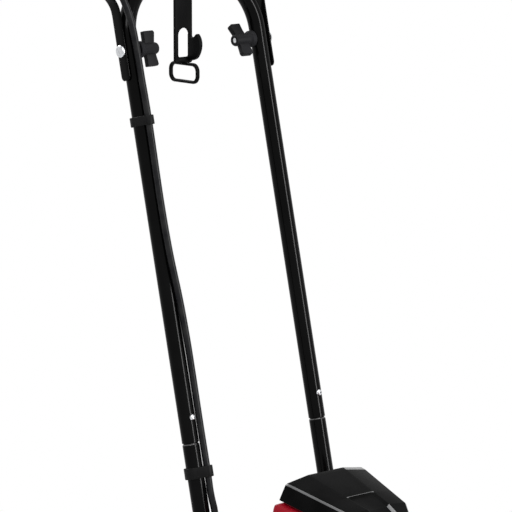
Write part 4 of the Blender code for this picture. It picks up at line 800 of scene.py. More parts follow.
def dress_lead():
    """The round lead in one smooth run. It bends where it passes the fold."""

    def at(x, v, s):
        return TUBES @ Vector((x, v, s))

    from_housing = (
        (HOUSING_GLAND_X, HOOD_REAR_RIM_Y + 0.0080, HOUSING_GLAND_Z),
        (HOUSING_GLAND_X, HOOD_REAR_RIM_Y + 0.0220, HOUSING_GLAND_Z),
        (HOUSING_GLAND_X, HOOD_REAR_RIM_Y + 0.0350, HOUSING_GLAND_Z),
        (-0.0490, 0.1297, 0.3015),
        (-0.0640, 0.1450, 0.3190),
    )
    beside_tube = (
        (-0.0945, -0.0128, 0.120),
        (-0.0974, -0.0112, 0.152),
        (-0.0992, -0.0112, 0.172),
        (-0.0986, -0.0110, CLIP_LOW_S),
        (-0.0992, -0.0113, 0.262),
        (-0.0986, -0.0108, 0.330),
        (-0.1013, -0.0136, 0.372),
        (-0.1042, -0.0149, 0.420),
        (-0.1097, -0.0160, 0.483),
        (-0.1113, -0.0160, 0.550),
        (-0.1104, -0.0160, CLIP_HIGH_S),
    )
    beside_fold = (
        (-0.1112, -0.0157, -0.035),
        (-0.1128, -0.0170, 0.000),
        (-0.1180, -0.0195, 0.040),
        (-0.1310, -0.0200, 0.080),
        (-0.1460, -0.0188, 0.112),
        (-0.1560, -0.0160, 0.132),
        (-0.1603, -0.0140, 0.1435),
        (BOX_GLAND_X, BOX_GLAND_Y, 0.1520),
        (BOX_GLAND_X, BOX_GLAND_Y, 0.1620),
        (BOX_GLAND_X, BOX_GLAND_Y, BOX_U[0] - 0.0010),
    )
    route = [UNIT @ Vector(point) for point in from_housing]
    route += [at(*point) for point in beside_tube]
    route += [at(x, v, PIVOT_S + u) for x, v, u in beside_fold]
    sheath = sweep(smooth_route(route, 0.006), LEAD_RADIUS, 20)
    item = piece("motor_lead", "sheath", sheath, rides=False)
    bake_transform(item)


def ribbed(start, first, last, length, ribs):
    """A tapered sleeve profile with shallow grooves, as (radius, height)."""
    points = []
    for k in range(ribs):
        for share, depth in ((0.0, 0.0), (0.55, 0.0), (0.62, 0.0007), (0.93, 0.0007)):
            t = (k + share) / ribs
            points.append((first + (last - first) * t - depth, start + length * t))
    return points + [(last, start + length)]


def dress_glands():
    """The ribbed strain reliefs at the two ends of the motor lead."""
    profile = [(0.0072, 0.0), (0.0072, 0.0030)] + ribbed(0.0030, 0.0068, 0.0060, 0.0185, 6)
    profile += [(0.0056, 0.0220), (LEAD_BORE, 0.0220), (LEAD_BORE, 0.0)]
    mesh = turned(profile, 32, (BOX_GLAND_X, BOX_GLAND_Y, BOX_U[0] - GAP), (0, 0, -1), 30)
    piece("lead_gland", "sleeve", mesh, HANDLE)
    profile = [(0.0088, -0.0055), (0.0088, -0.0028), (0.0068, -0.0028), (0.0068, 0.0006)]
    profile += ribbed(0.0006, 0.0076, 0.0060, 0.0248, 7)
    profile += [(0.0056, 0.0258), (LEAD_BORE, 0.0258), (LEAD_BORE, -0.0055)]
    mesh = turned(profile, 32, (HOUSING_GLAND_X, HOUSING_REAR_Y, HOUSING_GLAND_Z), (0, 1, 0), 30)
    piece("housing_gland", "sleeve", mesh, UNIT)


# Upper handle


def leg_section(x, u, tangent, half_thick, half_wide, count=40):
    """A ring of the bent tube, squarer where the tube is pressed flat."""
    normal = Vector((tangent[1], 0, -tangent[0]))
    power = 0.5 + 0.5 * (half_thick / half_wide)
    points = []
    for k in range(count):
        a = 2 * pi * (k + 0.5) / count
        across, wide = (copysign(abs(v) ** power, v) for v in (cos(a), sin(a)))
        points.append(Vector((x, 0, u)) + normal * (across * half_thick) + Vector((0, wide * half_wide, 0)))
    return points


def handle_path():
    """Stations (x, u, half thickness, half width) from the flat end to the middle of the crossbar."""
    flat_x = LEG_INNER_X + LEG_FLAT / 2
    thick, wide = LEG_FLAT / 2, LEG_FLAT_WIDTH / 2
    end = -LEG_END
    tip = [(flat_x, end, thick - 0.0005, wide - 0.0040), (flat_x, end + 0.0010, thick, wide - 0.0024)]
    tip += [(flat_x, end + 0.0025, thick, wide - 0.0010), (flat_x, end + 0.0050, thick, wide)]
    tip += [(flat_x, 0.018, thick, wide)]
    neck = [(flat_x, 0.046, thick, wide), (flat_x + 0.0013, 0.0560, thick, wide)]
    neck += [(flat_x + 0.0060, 0.0660, 0.0022, wide), (flat_x + 0.0135, 0.0780, 0.0052, 0.0092)]
    neck += [(flat_x + 0.0197, 0.0880, 0.0090, 0.0105)]
    corners = [(0.1479, 0, 0.0961), (HANDLE_HALF, 0, 0.158), (HANDLE_HALF, 0, HANDLE_TOP), (0, 0, HANDLE_TOP)]
    bend = rounded(corners, (0.040, 0.041), radians(5))
    round_part = [(p.x, p.z, TUBE_RADIUS, TUBE_RADIUS) for p in bend]
    return tip + blended(neck + round_part[:1], 4) + round_part[1:]


def dress_handle():
    """The bent tube with its two flattened legs, and the foam grip with its fine rings."""
    right = handle_path()
    stations = right + [(-x, *rest) for x, *rest in reversed(right[:-1])]
    sections = []
    for before, here, after in zip(stations[:1] + stations, stations, stations[1:] + stations[-1:]):
        tangent = Vector((after[0] - before[0], after[1] - before[1])).normalized()
        sections.append(leg_section(*here[:2], tangent, *here[2:]))
    piece("upper_handle", "tube", loft(sections, 50), HANDLE)
    end, rings = GRIP_HALF - 0.003, 22
    profile = [(TUBE_RADIUS + GAP, GRIP_HALF), (GRIP_RADIUS - 0.002, GRIP_HALF), (GRIP_RADIUS, end)]
    for k in range(1, rings):
        z = end - k * 2 * end / rings
        profile += [(GRIP_RADIUS, z + 0.0012), (GRIP_RADIUS - 0.0007, z), (GRIP_RADIUS, z - 0.0012)]
    profile += [(GRIP_RADIUS, -end), (GRIP_RADIUS - 0.002, -GRIP_HALF), (TUBE_RADIUS + GAP, -GRIP_HALF)]
    mesh = turned(profile, 48, (0, 0, HANDLE_TOP), (1, 0, 0), 60)
    piece("foam_grip", "sleeve", mesh, HANDLE, stem="foam")


def dress_bail():
    """The bent bar before the grip, and the clamp that holds its left end."""
    reach = Vector((0, -sin(BAIL_OPEN), cos(BAIL_OPEN))) * BAIL_ARM
    end = BOX_X[0] + 0.009
    right, left = Vector((-BAIL_HALF, 0, 0)), Vector((BAIL_HALF, 0, 0))
    corners = [(-end, 0, 0), right, right + reach, left + reach, left, (end + 0.004, 0, 0)]
    path = rounded(corners, (0.006, 0.012, 0.012, 0.006))
    matrix = HANDLE @ Matrix.Translation((0, 0, BAIL_AXIS_U))
    piece("bail_lever", "bar", sweep(path, BAIL_RADIUS, 28), matrix, stem="bail")
    outer = circle(0.015, (HANDLE_HALF, 0), 40, radians(-140), radians(280))
    outer += [(0.156, 0.008), (0.156, -0.008)]
    hole = circle(TUBE_RADIUS + GAP, (HANDLE_HALF, 0), 48)
    mesh = slab([outer, hole], 0.020, "XY", BAIL_AXIS_U, edge=0.0012)
    socket = rod(BAIL_RADIUS + GAP, (0.150, 0, BAIL_AXIS_U), (0.166, 0, BAIL_AXIS_U), 28)
    piece("bail_clip", "moulding", carve(mesh, [socket]), HANDLE)


def dress_switch_box():
    """Two rounded shells with the holes for leg, bail, inlet and button."""
    size = (BOX_X[1] - BOX_X[0], BOX_V[1] - BOX_V[0], BOX_U[1] - BOX_U[0])
    middle = (-sum(BOX_X) / 2, sum(BOX_V) / 2, sum(BOX_U) / 2)
    halves = (("front", -1, 0.0150, INLET_U, 0.018, 48), ("rear", 1, 0.0075, BUTTON_U, 0.020, 40))
    for name, side, radius, u, depth, sides in halves:
        leg_ends = [(-HANDLE_HALF, 0, BOX_U[0] - 0.01), (-HANDLE_HALF, 0, BOX_U[1] + 0.01)]
        bail_ends = [(reach - BOX_X[0], 0, BAIL_AXIS_U) for reach in (-0.006, 0.006)]
        cutters = [
            block([extent - 2 * BOX_WALL for extent in size], middle, 0.004, 3),
            block((0.2, 0.2, 0.2), (middle[0], -side * (0.1 - GAP / 2), middle[2])),
            rod(TUBE_RADIUS + GAP, *leg_ends, 48),
            rod(BAIL_RADIUS + GAP, *bail_ends, 28),
            rod(radius, (BUTTON_X, side * depth, u), (BUTTON_X, side * 0.04, u), sides),
        ]
        mesh = carve(block(size, middle, 0.0062, 4), cutters)
        piece(f"switch_box_{name}", "shell", mesh, HANDLE)


def dress_button():
    """The lock-off button's domed cap on its collar."""
    cap = [(0, 0.0062), (0.0030, 0.0064), (0.0052, 0.0060), (0.0064, 0.0051), (0.0071, 0.0036)]
    cap += [(0.0071, -0.0030), (0.0085, -0.0030), (0.0085, -0.0050), (0, -0.0050)]
    matrix = HANDLE @ Matrix.Translation((BUTTON_X, BOX_V[1], BUTTON_U))
    piece("lock_off_button", "cap", turned(cap, 40, axis=(0, 1, 0)), matrix)


def dress_inlet():
    """The mains inlet: a shroud with a rim, and two pins."""
    start = (BUTTON_X, BOX_V[0] + 0.0085, INLET_U)
    shroud = [(0, 0.0110), (0.0145, 0.0110), (0.0145, 0.0322), (0.0150, 0.0330), (0.0170, 0.0330)]
    shroud += [(0.0175, 0.0324), (0.0175, 0.0092), (0.0170, 0.0087), (0.0145, 0.0087), (0.0145, 0), (0, 0)]
    meshes = [turned(shroud, 48, start, (0, -1, 0))]
    for side in (-1, 1):
        ends = [(BUTTON_X + side * 0.0065, start[1] - reach, INLET_U) for reach in (0.0090, 0.0265)]
        meshes.append(rod(0.0022, *ends, 24, 0.0006))
    piece("mains_inlet", "shroud", join(*meshes), HANDLE)


# Cable hook


def rounded_rectangle(x_low, x_high, y_low, y_high, radius, steps=10):
    corners = [(x_high - radius, y_high - radius), (x_low + radius, y_high - radius)]
    corners += [(x_low + radius, y_low + radius), (x_high - radius, y_low + radius)]
    points = []
    for k, corner in enumerate(corners):
        points += circle(radius, corner, steps, k * pi / 2, pi / 2)
    return points


def dress_hook():
    """The eye on the arch, the slotted strap, the nose and the cord ring."""
    eye = mirrored([(0.0114, -0.0060), (0.0118, -0.0065), (0.0148, -0.0065), (0.0158, -0.0055)])
    strap = [(-0.0147, -0.0125), (-0.0147, -0.1155), (0.0147, -0.1155), (0.0147, -0.0125)]
    strap = fillet(strap, (0.001, 0.003, 0.003, 0.001))
    slot = circle(0.0095, (0.0005, -0.0790), 24, 0.0, pi)
    foot = [slot[-1], (-0.0090, -0.1075), (0.0100, -0.1075), slot[0]]
    slot += fillet(foot, (0, 0.003, 0.003, 0))[1:-1]
    nose = [(0, -0.0780), (-0.0060, -0.0820), (-0.0120, -0.0810), (-0.0170, -0.0770), (-0.0215, -0.0810)]
    nose += [(-0.0240, -0.0880), (-0.0235, -0.0960), (-0.0200, -0.1040), (-0.0140, -0.1100), (0, -0.1140)]
    nose = [(p.x, p.y) for p in smooth_route([(y, z, 0) for y, z in nose], 0.0015)]
    y_low, y_high, z_low, z_high, bar = -0.0310, 0.0260, -0.1410, -0.1140, 0.004
    outer = rounded_rectangle(y_low, y_high, z_low, z_high, 0.0105)
    inner = rounded_rectangle(y_low + bar, y_high - bar, z_low + bar, z_high - bar, 0.0070)
    mesh = join(
        turned(eye, 48, axis=(1, 0, 0)),
        slab([strap, slot], 0.0044, "XZ", edge=0.0010),
        slab([nose], 0.0060, "YZ", 0.0105, edge=0.0012),
        slab([outer, inner], 0.0055, "YZ", edge=0.0016),
    )
    piece("cable_hook", "moulding", mesh, HOOK @ Matrix.Translation((HOOK_X, 0, 0)), "hook")


# Chassis


def unit_tube_point(x, v, s):
    """A point beside the leaning tubes, in the power unit's frame."""
    return UNIT.inverted() @ TUBES @ Vector((x, v, s))


def bracket_angle():
    """The direction of the wheel bracket's arms at rest."""
    return atan2(WHEEL_RADIUS - BRACKET_PIVOT_Z, WHEEL_Y - BRACKET_PIVOT_Y)


def arc_slot(reach, half_width):
    """The curved slot that the lock knob's bolt follows."""
    start, bend = bracket_angle() - radians(8), radians(76)
    centre = (BRACKET_PIVOT_Y, BRACKET_PIVOT_Z)
    outer = circle(reach + half_width, centre, 30, start, bend)
    inner = circle(reach - half_width, centre, 30, start, bend)
    return outer + inner[::-1]


def dress_frame_bracket():
    """The deck plate with its rear flange, the spigots in their collars and the slotted cheeks."""
    left = [(0.046, -0.050), (0.046, 0.088), (0.126, 0.134), (0.126, 0.190)]
    outline = left + [(-x, y) for x, y in reversed(left)]
    outline = fillet(outline, (0.004, 0.010, 0.012, 0.003, 0.003, 0.012, 0.010, 0.004), 5)
    neck = [(0.0295, -0.0225), (0.0295, 0.0685), (-0.0295, 0.0685), (-0.0295, -0.0225)]
    meshes = [
        slab([outline, neck], PLATE_THICK, "XY", PLATE_Z + PLATE_THICK / 2, edge=0.0006),
        block((0.1200, PLATE_THICK, 0.0100), (0, 0.1883, PLATE_Z - 0.003), 0.0006),
    ]
    low = PLATE_Z + 0.0015
    cheek = [(0.132, low), (0.132, 0.196), (0.141, 0.190), (0.157, 0.166), (0.163, 0.156)]
    cheek += [(0.174, 0.156), (0.199, 0.180), (0.199, 0.214), (0.187, low)]
    cheek = fillet(cheek, (0, 0.003, 0.004, 0.004, 0.004, 0.004, 0.004, 0.006, 0))
    pivot = (BRACKET_PIVOT_Y, BRACKET_PIVOT_Z)
    for side in (-1, 1):
        x = side * HALF_TRACK
        foot, top = unit_tube_point(x, 0, -0.0070), unit_tube_point(x, 0, 0.044)
        collar = (x, foot.y + 0.0010)
        pin = (side * (CHEEK_X - 0.001), side * (BRACKET_ARM_X + 0.006))
        meshes += [
            rod(0.0160, (*collar, low), (*collar, low + 0.0070), 48, 0.0010),
            rod(0.0094, foot, top, 40),
            slab([cheek, arc_slot(LOCK_REACH, 0.0047)], PLATE_THICK, "YZ", side * CHEEK_X, edge=0.0006),
            rod(0.006, (pin[0], *pivot), (pin[1], *pivot), 40, 0.0007),
        ]
    piece("frame_bracket", "pressing", join(*meshes), UNIT)


# Hood and motor housing


def hood_edge(y):
    """Half the width and the height of the hood's side edge at y."""
    back, nose = HOOD_REAR_Y - y, max(HOOD_BREAK_Y - y, 0)
    return HOOD_HALF - HOOD_TAPER * back - 0.25 * nose, HOOD_Z - HOOD_SLOPE * back - 0.65 * nose


def hood_ridge(y):
    """Half the width and the height of the hood's ridges at y."""
    back, nose = HOOD_REAR_Y - y, max(HOOD_BREAK_Y - y, 0)
    return RIDGE_HALF - RIDGE_TAPER * back, RIDGE_Z - RIDGE_SLOPE * back - 0.18 * nose


def hood_rim(y):
    return HOOD_Z - HOOD_BAND - HOOD_SLOPE * (HOOD_REAR_Y - y)


def hood_rear(z, depth=0.0):
    """The rear face's y at a height: it leans out downwards."""
    return HOOD_REAR_Y + 0.0029 + HOOD_REAR_TILT * (HOOD_Z - z) - depth


def hood_section(y, drop, panel):
    """The hood's outer line at y, with its ridges dropped and the panel between them sunk."""
    half, edge = hood_edge(y)
    ridge, crest = hood_ridge(y)
    rear = y == HOOD_REAR_Y
    half -= 0.004 if y == HOOD_FRONT_Y else 0.0
    low = hood_rim(HOOD_REAR_RIM_Y if rear else y)
    edge = max(edge + drop / 2, low + 0.0045)
    line = [(half + (0.004 if rear else 0.002), low), (half, edge - 0.0022), (half - 0.0022, edge)]
    line += [(ridge, crest + drop), (ridge - 0.004, crest + drop + panel)]
    line = [(-x, z) for x, z in line] + line[::-1]
    return [(x, hood_rear(z) if rear else y, z) for x, z in line]


def hood_hollow(y):
    """The hood's inner line at y."""
    half, edge = hood_edge(y)
    half -= SHELL_WALL + 0.001
    low = hood_rim(y) - 0.004
    top = max(edge - 0.006, low + 0.005)
    line = [(-half, low), (-half, top), (0, top + 0.002), (half, top), (half, low)]
    return [(x, hood_rear(z, 0.004) if y > PANEL_Y else y, z) for x, z in line]


def on_hood_painted_highlight(at, normal):
    """Faces with a painted highlight: side chamfers, the rear's right top edge, the panel's step, the nose's
    left face.
    """
    ridge, _ = hood_ridge(at.y)
    chamfer = 0.45 < abs(normal.x) < 0.85 and normal.z > 0.4 and abs(at.x) > ridge + 0.008
    rear_top = at.y > HOOD_REAR_Y - 0.0060 and normal.z > 0.5 and ridge < at.x
    nose = at.x > 0 and normal.x < -0.3 and at.y < HOOD_BREAK_Y + 0.004
    on_step = abs(at.y - PANEL_Y - 0.0010) < 0.0012 and abs(at.x) < ridge
    return chamfer or rear_top or nose or (on_step and normal.y < -0.12 and normal.z > 0.75)


def dress_hood():
    """The faceted black lid, its edges broken by fine chamfers, with painted highlights in lighter grey on some
    faces.
    """
    sunk = -0.0030
    stations = (
        (HOOD_REAR_Y, 0.0, 0.0),
        (HOOD_REAR_Y - 0.0060, 0.0, 0.0),
        (PANEL_Y + 0.0010, 0.0, 0.0),
        (PANEL_Y - 0.0010, 0.0, sunk),
        (HOOD_BREAK_Y, 0.0, sunk),
        (HOOD_FRONT_Y + 0.008, 0.0, sunk),
        (HOOD_FRONT_Y, -0.0080, sunk),
    )
    outside = loft([hood_section(*station) for station in stations])
    inside = loft([hood_hollow(y) for y in (HOOD_REAR_Y - 0.004, HOOD_BREAK_Y + 0.002, HOOD_FRONT_Y + 0.008)])
    mesh = carve(outside, [inside], bevel=0.0007, limit=7, angle=24)
    # The chosen faces get hood_edge, a lighter grey painted as a highlight
    mark_faces(mesh, on_hood_painted_highlight)
    piece("hood", "lid", mesh, UNIT, "hood", edges="hood_edge")


def shell_line(y, widen, inset, rim_y):
    """The outer line (x, z) of the housing's half at y, from the groove under the hood to the bottom."""
    half, _ = hood_edge(y)
    half -= inset
    rim = hood_rim(rim_y) - GAP - 0.0005
    waist = (rim + SHELL_BOTTOM) / 2 + 0.012
    middle = [(0.0050, rim - 0.0052), (0.0085, rim - 0.0115), (0.0125, rim - 0.0320), (0.015, waist)]
    middle += [(0.015, SHELL_BOTTOM + 0.040), (0.006, SHELL_BOTTOM + 0.012)]
    middle = [(half + out * widen, z) for out, z in middle] + [(half - 0.003, SHELL_BOTTOM + 0.002)]
    groove = half - GROOVE_DEPTH
    line = [(groove, rim + GROOVE_TOP), (groove, rim - GROOVE_HEIGHT)] + blended(middle, 4)
    return line + [(half - 0.006, SHELL_BOTTOM), (0.018, SHELL_BOTTOM)]


def shell_stations():
    """The housing's stations (y, widening, inset): a rounded rear, the sides and a rounded front."""
    front, corner = HOOD_FRONT_Y - 0.004, 0.009
    turns = [pi / 2 * k / 5 for k in range(6)]
    rows = [(HOUSING_REAR_Y - corner * (1 - cos(a)), 1 - sin(a)) for a in turns]
    rows += [(y, 0.0) for y in (0.040, 0.020, 0.0, HOOD_BREAK_Y, -0.036)]
    rows += [(front + corner * (1 - sin(a)), 1 - cos(a)) for a in turns]
    return [(y, 1 - 0.6 * t, 0.010 * t) for y, t in rows]


def strip(builder, first, second):
    """A band of faces between two open rows of vertices."""
    for k in range(len(first) - 1):
        builder.faces.new((first[k], first[k + 1], second[k + 1], second[k]))


def shell_half(side):
    """One half of the housing as a sheet, with its shoulder and groove under the hood's rim."""
    builder = bmesh.new()
    grid = []
    for n, (y, widen, inset) in enumerate(shell_stations()):
        rim_y = min(y, HOOD_REAR_RIM_Y + 0.0005 - 0.0003 * n)
        depth = GROOVE_DEPTH if y > HOOD_REAR_Y else 0
        line = shell_line(y, widen, inset, rim_y)
        row = []
        for x, z in line:
            share = min(max(line[1][1] - z, 0) / 0.011, 1)
            shoulder = rim_y - depth + (0.0085 + depth) * sqrt(1 - (1 - share) ** 2)
            row.append(builder.verts.new((side * x, min(y, shoulder), z)))
        grid.append(row)
    for first, second in zip(grid, grid[1:]):
        strip(builder, first, second)
    for row in (grid[0], grid[-1]):
        middle = [builder.verts.new((side * GAP / 2, vert.co.y, vert.co.z)) for vert in row[:-2]]
        low = builder.verts.new((side * GAP / 2, row[-1].co.y, row[-1].co.z))
        strip(builder, row[:-2], middle)
        builder.faces.new((*row[-3:], low, middle[-1]))
    mesh = finish_mesh(builder)
    if side * mesh.polygons[0].normal.x < 0:
        mesh.flip_normals()
    return mesh


def dress_motor_shells():
    """Two rounded red shells with vents, parted on the middle plane. The right one has the lead's hole."""
    for side, name in SIDES:
        cutters = []
        for k in range(VENTS):
            y = VENT_FIRST_Y - VENT_PITCH * k
            half, _ = hood_edge(y)
            cutters.append(block((0.040, 0.0055, 0.034), (side * (half + 0.010), y, VENT_Z), 0.0022, 3))
        if side < 0:
            ends = [(HOUSING_GLAND_X, HOUSING_REAR_Y + reach, HOUSING_GLAND_Z) for reach in (-0.02, 0.02)]
            cutters.append(rod(0.0072, *ends, 40))
        mesh = carve(shell_half(side), cutters, wall=SHELL_WALL, angle=30)
        piece(f"motor_shell_{name}", "moulding", mesh, UNIT)


# Gear leg, tines and guard


def shaft_rod(radius, near, far, sides, chamfer=0.0):
    """A rod on the tine axis between two places across the machine."""
    return rod(radius, (near, 0, TINE_Z), (far, 0, TINE_Z), sides, chamfer)


def leg_outline():
    bottom = circle(0.038, (0, TINE_Z), 48, radians(150), radians(205))
    column = [(0.0530, 0.118), (0.0530, 0.188), (0.0660, 0.199), (0.0660, 0.2310)]
    column += [(-0.0200, 0.2310), (-0.0200, 0.178)]
    return fillet(bottom + column, [0] * len(bottom) + [0.006, 0.006, 0.006, 0, 0, 0.020], 5)


def dress_gearbox():
    """The outside of the cast leg's halves, with their softened edges."""
    low, high = GAP / 2, 0.0225
    for side, name in SIDES:
        leg = slab([leg_outline()], high - low, "YZ", side * (low + high) / 2, edge=0.0016)
        boss = shaft_rod(0.0215, side * 0.010, side * 0.0300, 48, 0.0012)
        mesh = join(
            carve(leg, [shaft_rod(0.0172, -0.0300, 0.0300, 40)]),
            block((0.0290 - GAP, 0.0890, 0.0343), (side * 0.0145, 0.0230, 0.21315), 0.0012),
            block((0.0439, 0.1240, 0.0062), (side * 0.0221, 0.0160, 0.2304), 0.0012),
            carve(boss, [shaft_rod(0.0152, -0.0400, 0.0400, 40)]),
        )
        piece(f"gearbox_{name}", "casting", mesh, UNIT)


def dress_seals():
    """The lipped rubber seals where the shaft leaves the leg."""
    bore = TINE_SHAFT_RADIUS + GAP
    seal = [(bore, 0.0244), (bore + 0.0006, 0.0240), (0.0149, 0.0240), (0.0149, 0.0286), (0.0145, 0.0290)]
    seal += [(0.0128, 0.0290), (0.0122, 0.0278), (0.0112, 0.0278), (bore, 0.0288)]
    for side, name in SIDES:
        piece(f"shaft_seal_{name}", "ring", turned(seal, 48, (0, 0, TINE_Z), (side, 0, 0)), UNIT)


def blade(angle, direction):
    """One tine: a strip with thinned edges that sweeps back and bends sideways towards its tip."""
    widths = [(0.020, 0.0130), (0.044, 0.0125), (0.064, 0.0120), (0.083, 0.0110)]
    widths.append((TINE_RADIUS - 0.0013, 0.0065))
    ring = mirrored([(-1, -0.35), (-0.86, -1), (0.86, -1), (1, -0.35)])
    first, last, steps = widths[0][0], widths[-1][0], 14
    sections = []
    previous = None
    for k in range(steps + 1):
        radius = first + (last - first) * k / steps
        half = widths[-1][1]
        for (r0, w0), (r1, w1) in zip(widths, widths[1:]):
            if r0 <= radius <= r1:
                half = w0 + (w1 - w0) * (radius - r0) / (r1 - r0)
                break
        share = max(0.0, (radius - 0.040) / (TINE_RADIUS - 0.040))
        x = direction * (BLADE_REACH - BLADE_THICK / 2) * share**1.25
        a = angle - 0.40 * share
        place = Vector((x, radius * cos(a), radius * sin(a)))
        across = Vector((0, -sin(a), cos(a)))
        forward = (place - previous).normalized() if previous else Vector((0, cos(a), sin(a)))
        previous = place
        thick = across.cross(forward).normalized() * (BLADE_THICK / 2)
        sections.append([place + across * half * w + thick * t for w, t in ring])
    return loft(sections, 50)


def dress_tines():
    """Four rotors with their bent tines, the shaft and its pins."""
    half = ROTOR_SPAN / 2
    hub = [(TINE_SHAFT_RADIUS + GAP, -half), (HUB_RADIUS - 0.0006, -half), (HUB_RADIUS, -half + 0.0006)]
    hub = mirrored(hub + [(HUB_RADIUS, -0.0025), (0.0324, -0.0025), (0.0330, -0.0019)])
    pin = [(0, 0.0035), (0.0050, 0.0035), (0.0055, 0.0030), (0.0055, 0), (0.0030, 0)]
    pin += [(0.0030, -0.0334), (0.0024, -0.0340), (0, -0.0340)]
    for side, name in SIDES:
        for place, start, turn in ROTORS:
            meshes = [turned(hub, 48, axis=(1, 0, 0))]
            for k in range(4):
                meshes.append(blade(-pi / 2 + 0.40 + turn + k * pi / 2, 1 if k % 2 else -1))
            matrix = TINES @ Matrix.Translation((side * (start + half), 0, 0))
            piece(f"tine_rotor_{place}_{name}", "forging", join(*meshes), matrix, "tine")
        mesh = turned(pin, 32, (side * ROTOR_PIN_X, HUB_RADIUS + GAP, 0), (0, 1, 0))
        piece(f"rotor_pin_{name}", "turned", mesh, TINES)
    shaft = rod(TINE_SHAFT_RADIUS, (-TINE_SHAFT_HALF, 0, 0), (TINE_SHAFT_HALF, 0, 0), 48, 0.0010)
    piece("tine_shaft", "bar", shaft, TINES)


def guard_line(radius, trim=0.0):
    """The guard's arc at a radius, its ends trimmed by an angle in degrees."""
    start, end = radians(172 - trim), radians(14 + trim)
    return circle(radius, (0, TINE_Z), 49, start, end - start)


def dress_guard():
    """The arched cover with its end ribs, front lip and mounting bosses."""
    lip = -GUARD_RADIUS - 0.012
    outline = guard_line(GUARD_RADIUS + GUARD_WALL) + guard_line(GUARD_RADIUS)[::-1]
    outline += [(lip, TINE_Z + 0.010), (lip, TINE_Z + 0.013)]
    cover = slab([outline], 2 * GUARD_HALF, "YZ", edge=0.0008)
    meshes = [carve(cover, [block((0.0600, 0.1140, 0.1200), (0, 0.0140, 0.2000))])]
    rib = guard_line(GUARD_RADIUS + 0.010, 3) + guard_line(GUARD_RADIUS + 0.001, 3)[::-1]
    boss = 0.006
    for side in (-1, 1):
        meshes.append(slab([rib], 0.004, "YZ", side * (GUARD_HALF - 0.005), edge=0.0008))
        for y in (-0.040, 0.055):
            foot = TINE_Z + sqrt(GUARD_RADIUS**2 - (abs(y) - boss - 0.0005) ** 2)
            meshes.append(rod(boss, (side * 0.039, y, foot), (side * 0.039, y, PLATE_Z - GAP), 32))
    piece("tine_guard", "moulding", join(*meshes), UNIT)


# Transport wheels


def dress_wheel_bracket(end, lock):
    """Two arms with their web and tube, and the axle. end is the axle's place and lock the knob's."""
    direction = bracket_angle()
    half = BRACKET_ARM_X
    outline = circle(0.0120, (0, 0), 28, direction + pi / 2, pi)
    outline += circle(0.0120, end, 28, direction - pi / 2, pi)
    holes = [circle(0.0063), circle(AXLE_RADIUS + GAP, end), circle(0.0043, lock, 32)]
    web = block((2 * half + 0.001, 0.003, 0.050), (0, 0, 0), 0.0006)
    along_arm = Vector((0, cos(direction), sin(direction)))
    across = Vector((0, -sin(direction), cos(direction)))
    place = Matrix.Translation(along_arm * 0.092 + across * 0.0075)
    web.transform(place @ Matrix.Rotation(direction - pi / 2, 4, "X"))
    tube = mirrored([(AXLE_RADIUS + GAP, -half), (0.0095, -half)])
    meshes = [web, turned(tube, 40, (0, *end), (1, 0, 0))]
    for side in (-1, 1):
        meshes.append(slab([outline, *holes], 0.003, "YZ", side * (half + 0.0005), edge=0.0006))
    piece("wheel_bracket", "pressing", join(*meshes), CARRIER)
    length = WHEEL_X + WHEEL_HALF_WIDTH + 0.006
    axle = rod(AXLE_RADIUS, (-length, *end), (length, *end), 40, 0.0008)
    piece("wheel_axle", "bar", axle, CARRIER)


def dress_lock_knob(lock):
    """The star knob with its collar and bolt, in the curved slot."""
    lobes = []
    for k in range(100):
        a = 2 * pi * k / 100
        radius = LOCK_KNOB_RADIUS + LOBE_HEIGHT * cos(LOBES * a)
        lobes.append((radius * cos(a), radius * sin(a)))
    mesh = join(
        slab([lobes], 0.0110, "YZ", 0.0065, edge=0.0018),
        rod(0.0038, (0.002, 0, 0), (-0.0130, 0, 0)),
        rod(0.0085, (0.0070, 0, 0), (0.0005, 0, 0), 40),
    )
    matrix = CARRIER @ Matrix.Translation((BRACKET_ARM_X + 0.0024, *lock))
    piece("wheel_lock_knob", "star", mesh, matrix)


def dress_wheel(node, matrix):
    """A solid rubber tyre with shallow grooves on a ribbed plastic disc."""
    half = WHEEL_HALF_WIDTH
    rim = WHEEL_RADIUS - 0.0195
    tread = []
    for k in range(5):
        x = -half + 0.007 + k * (2 * half - 0.014) / 4
        tread += [(WHEEL_RADIUS, x - 0.0022), (WHEEL_RADIUS, x + 0.0022)]
        if k < 4:
            tread += [(WHEEL_RADIUS - 0.0014, x + 0.0028), (WHEEL_RADIUS - 0.0014, x + 0.0032)]
    wall = [(rim, -half + 0.009), (rim + 0.0040, -half + 0.0025), (WHEEL_RADIUS - 0.0120, -half + 0.0003)]
    wall += [(WHEEL_RADIUS - 0.0070, -half + 0.0008), (WHEEL_RADIUS - 0.0018, -half + 0.0035)]
    tyre = wall + tread + [(radius, -x) for radius, x in reversed(wall)]
    piece(node, "tyre", turned(tyre, 72, axis=(1, 0, 0)), matrix)
    disc = [(AXLE_RADIUS + GAP, -half), (0.0110, -half), (0.0118, -half + 0.0008), (0.0130, -half + 0.0110)]
    disc += [(0.0180, -half + 0.0135), (rim - 0.0040, -half + 0.0125), (rim - 0.0022, -half + 0.0060)]
    disc += [(rim - 0.0004, -half + 0.0052), (rim + 0.0006, -half + 0.0080)]
    meshes = [turned(mirrored(disc), 72, axis=(1, 0, 0))]
    for k in range(6):
        spoke = block((0.0130, 0.0030, rim - 0.0130), (0, 0, (rim + 0.0100) / 2), 0.0007)
        spoke.transform(Matrix.Rotation(pi * k / 3, 4, "X"))
        meshes.append(spoke)
    piece(node, "disc", join(*meshes), matrix, "black")


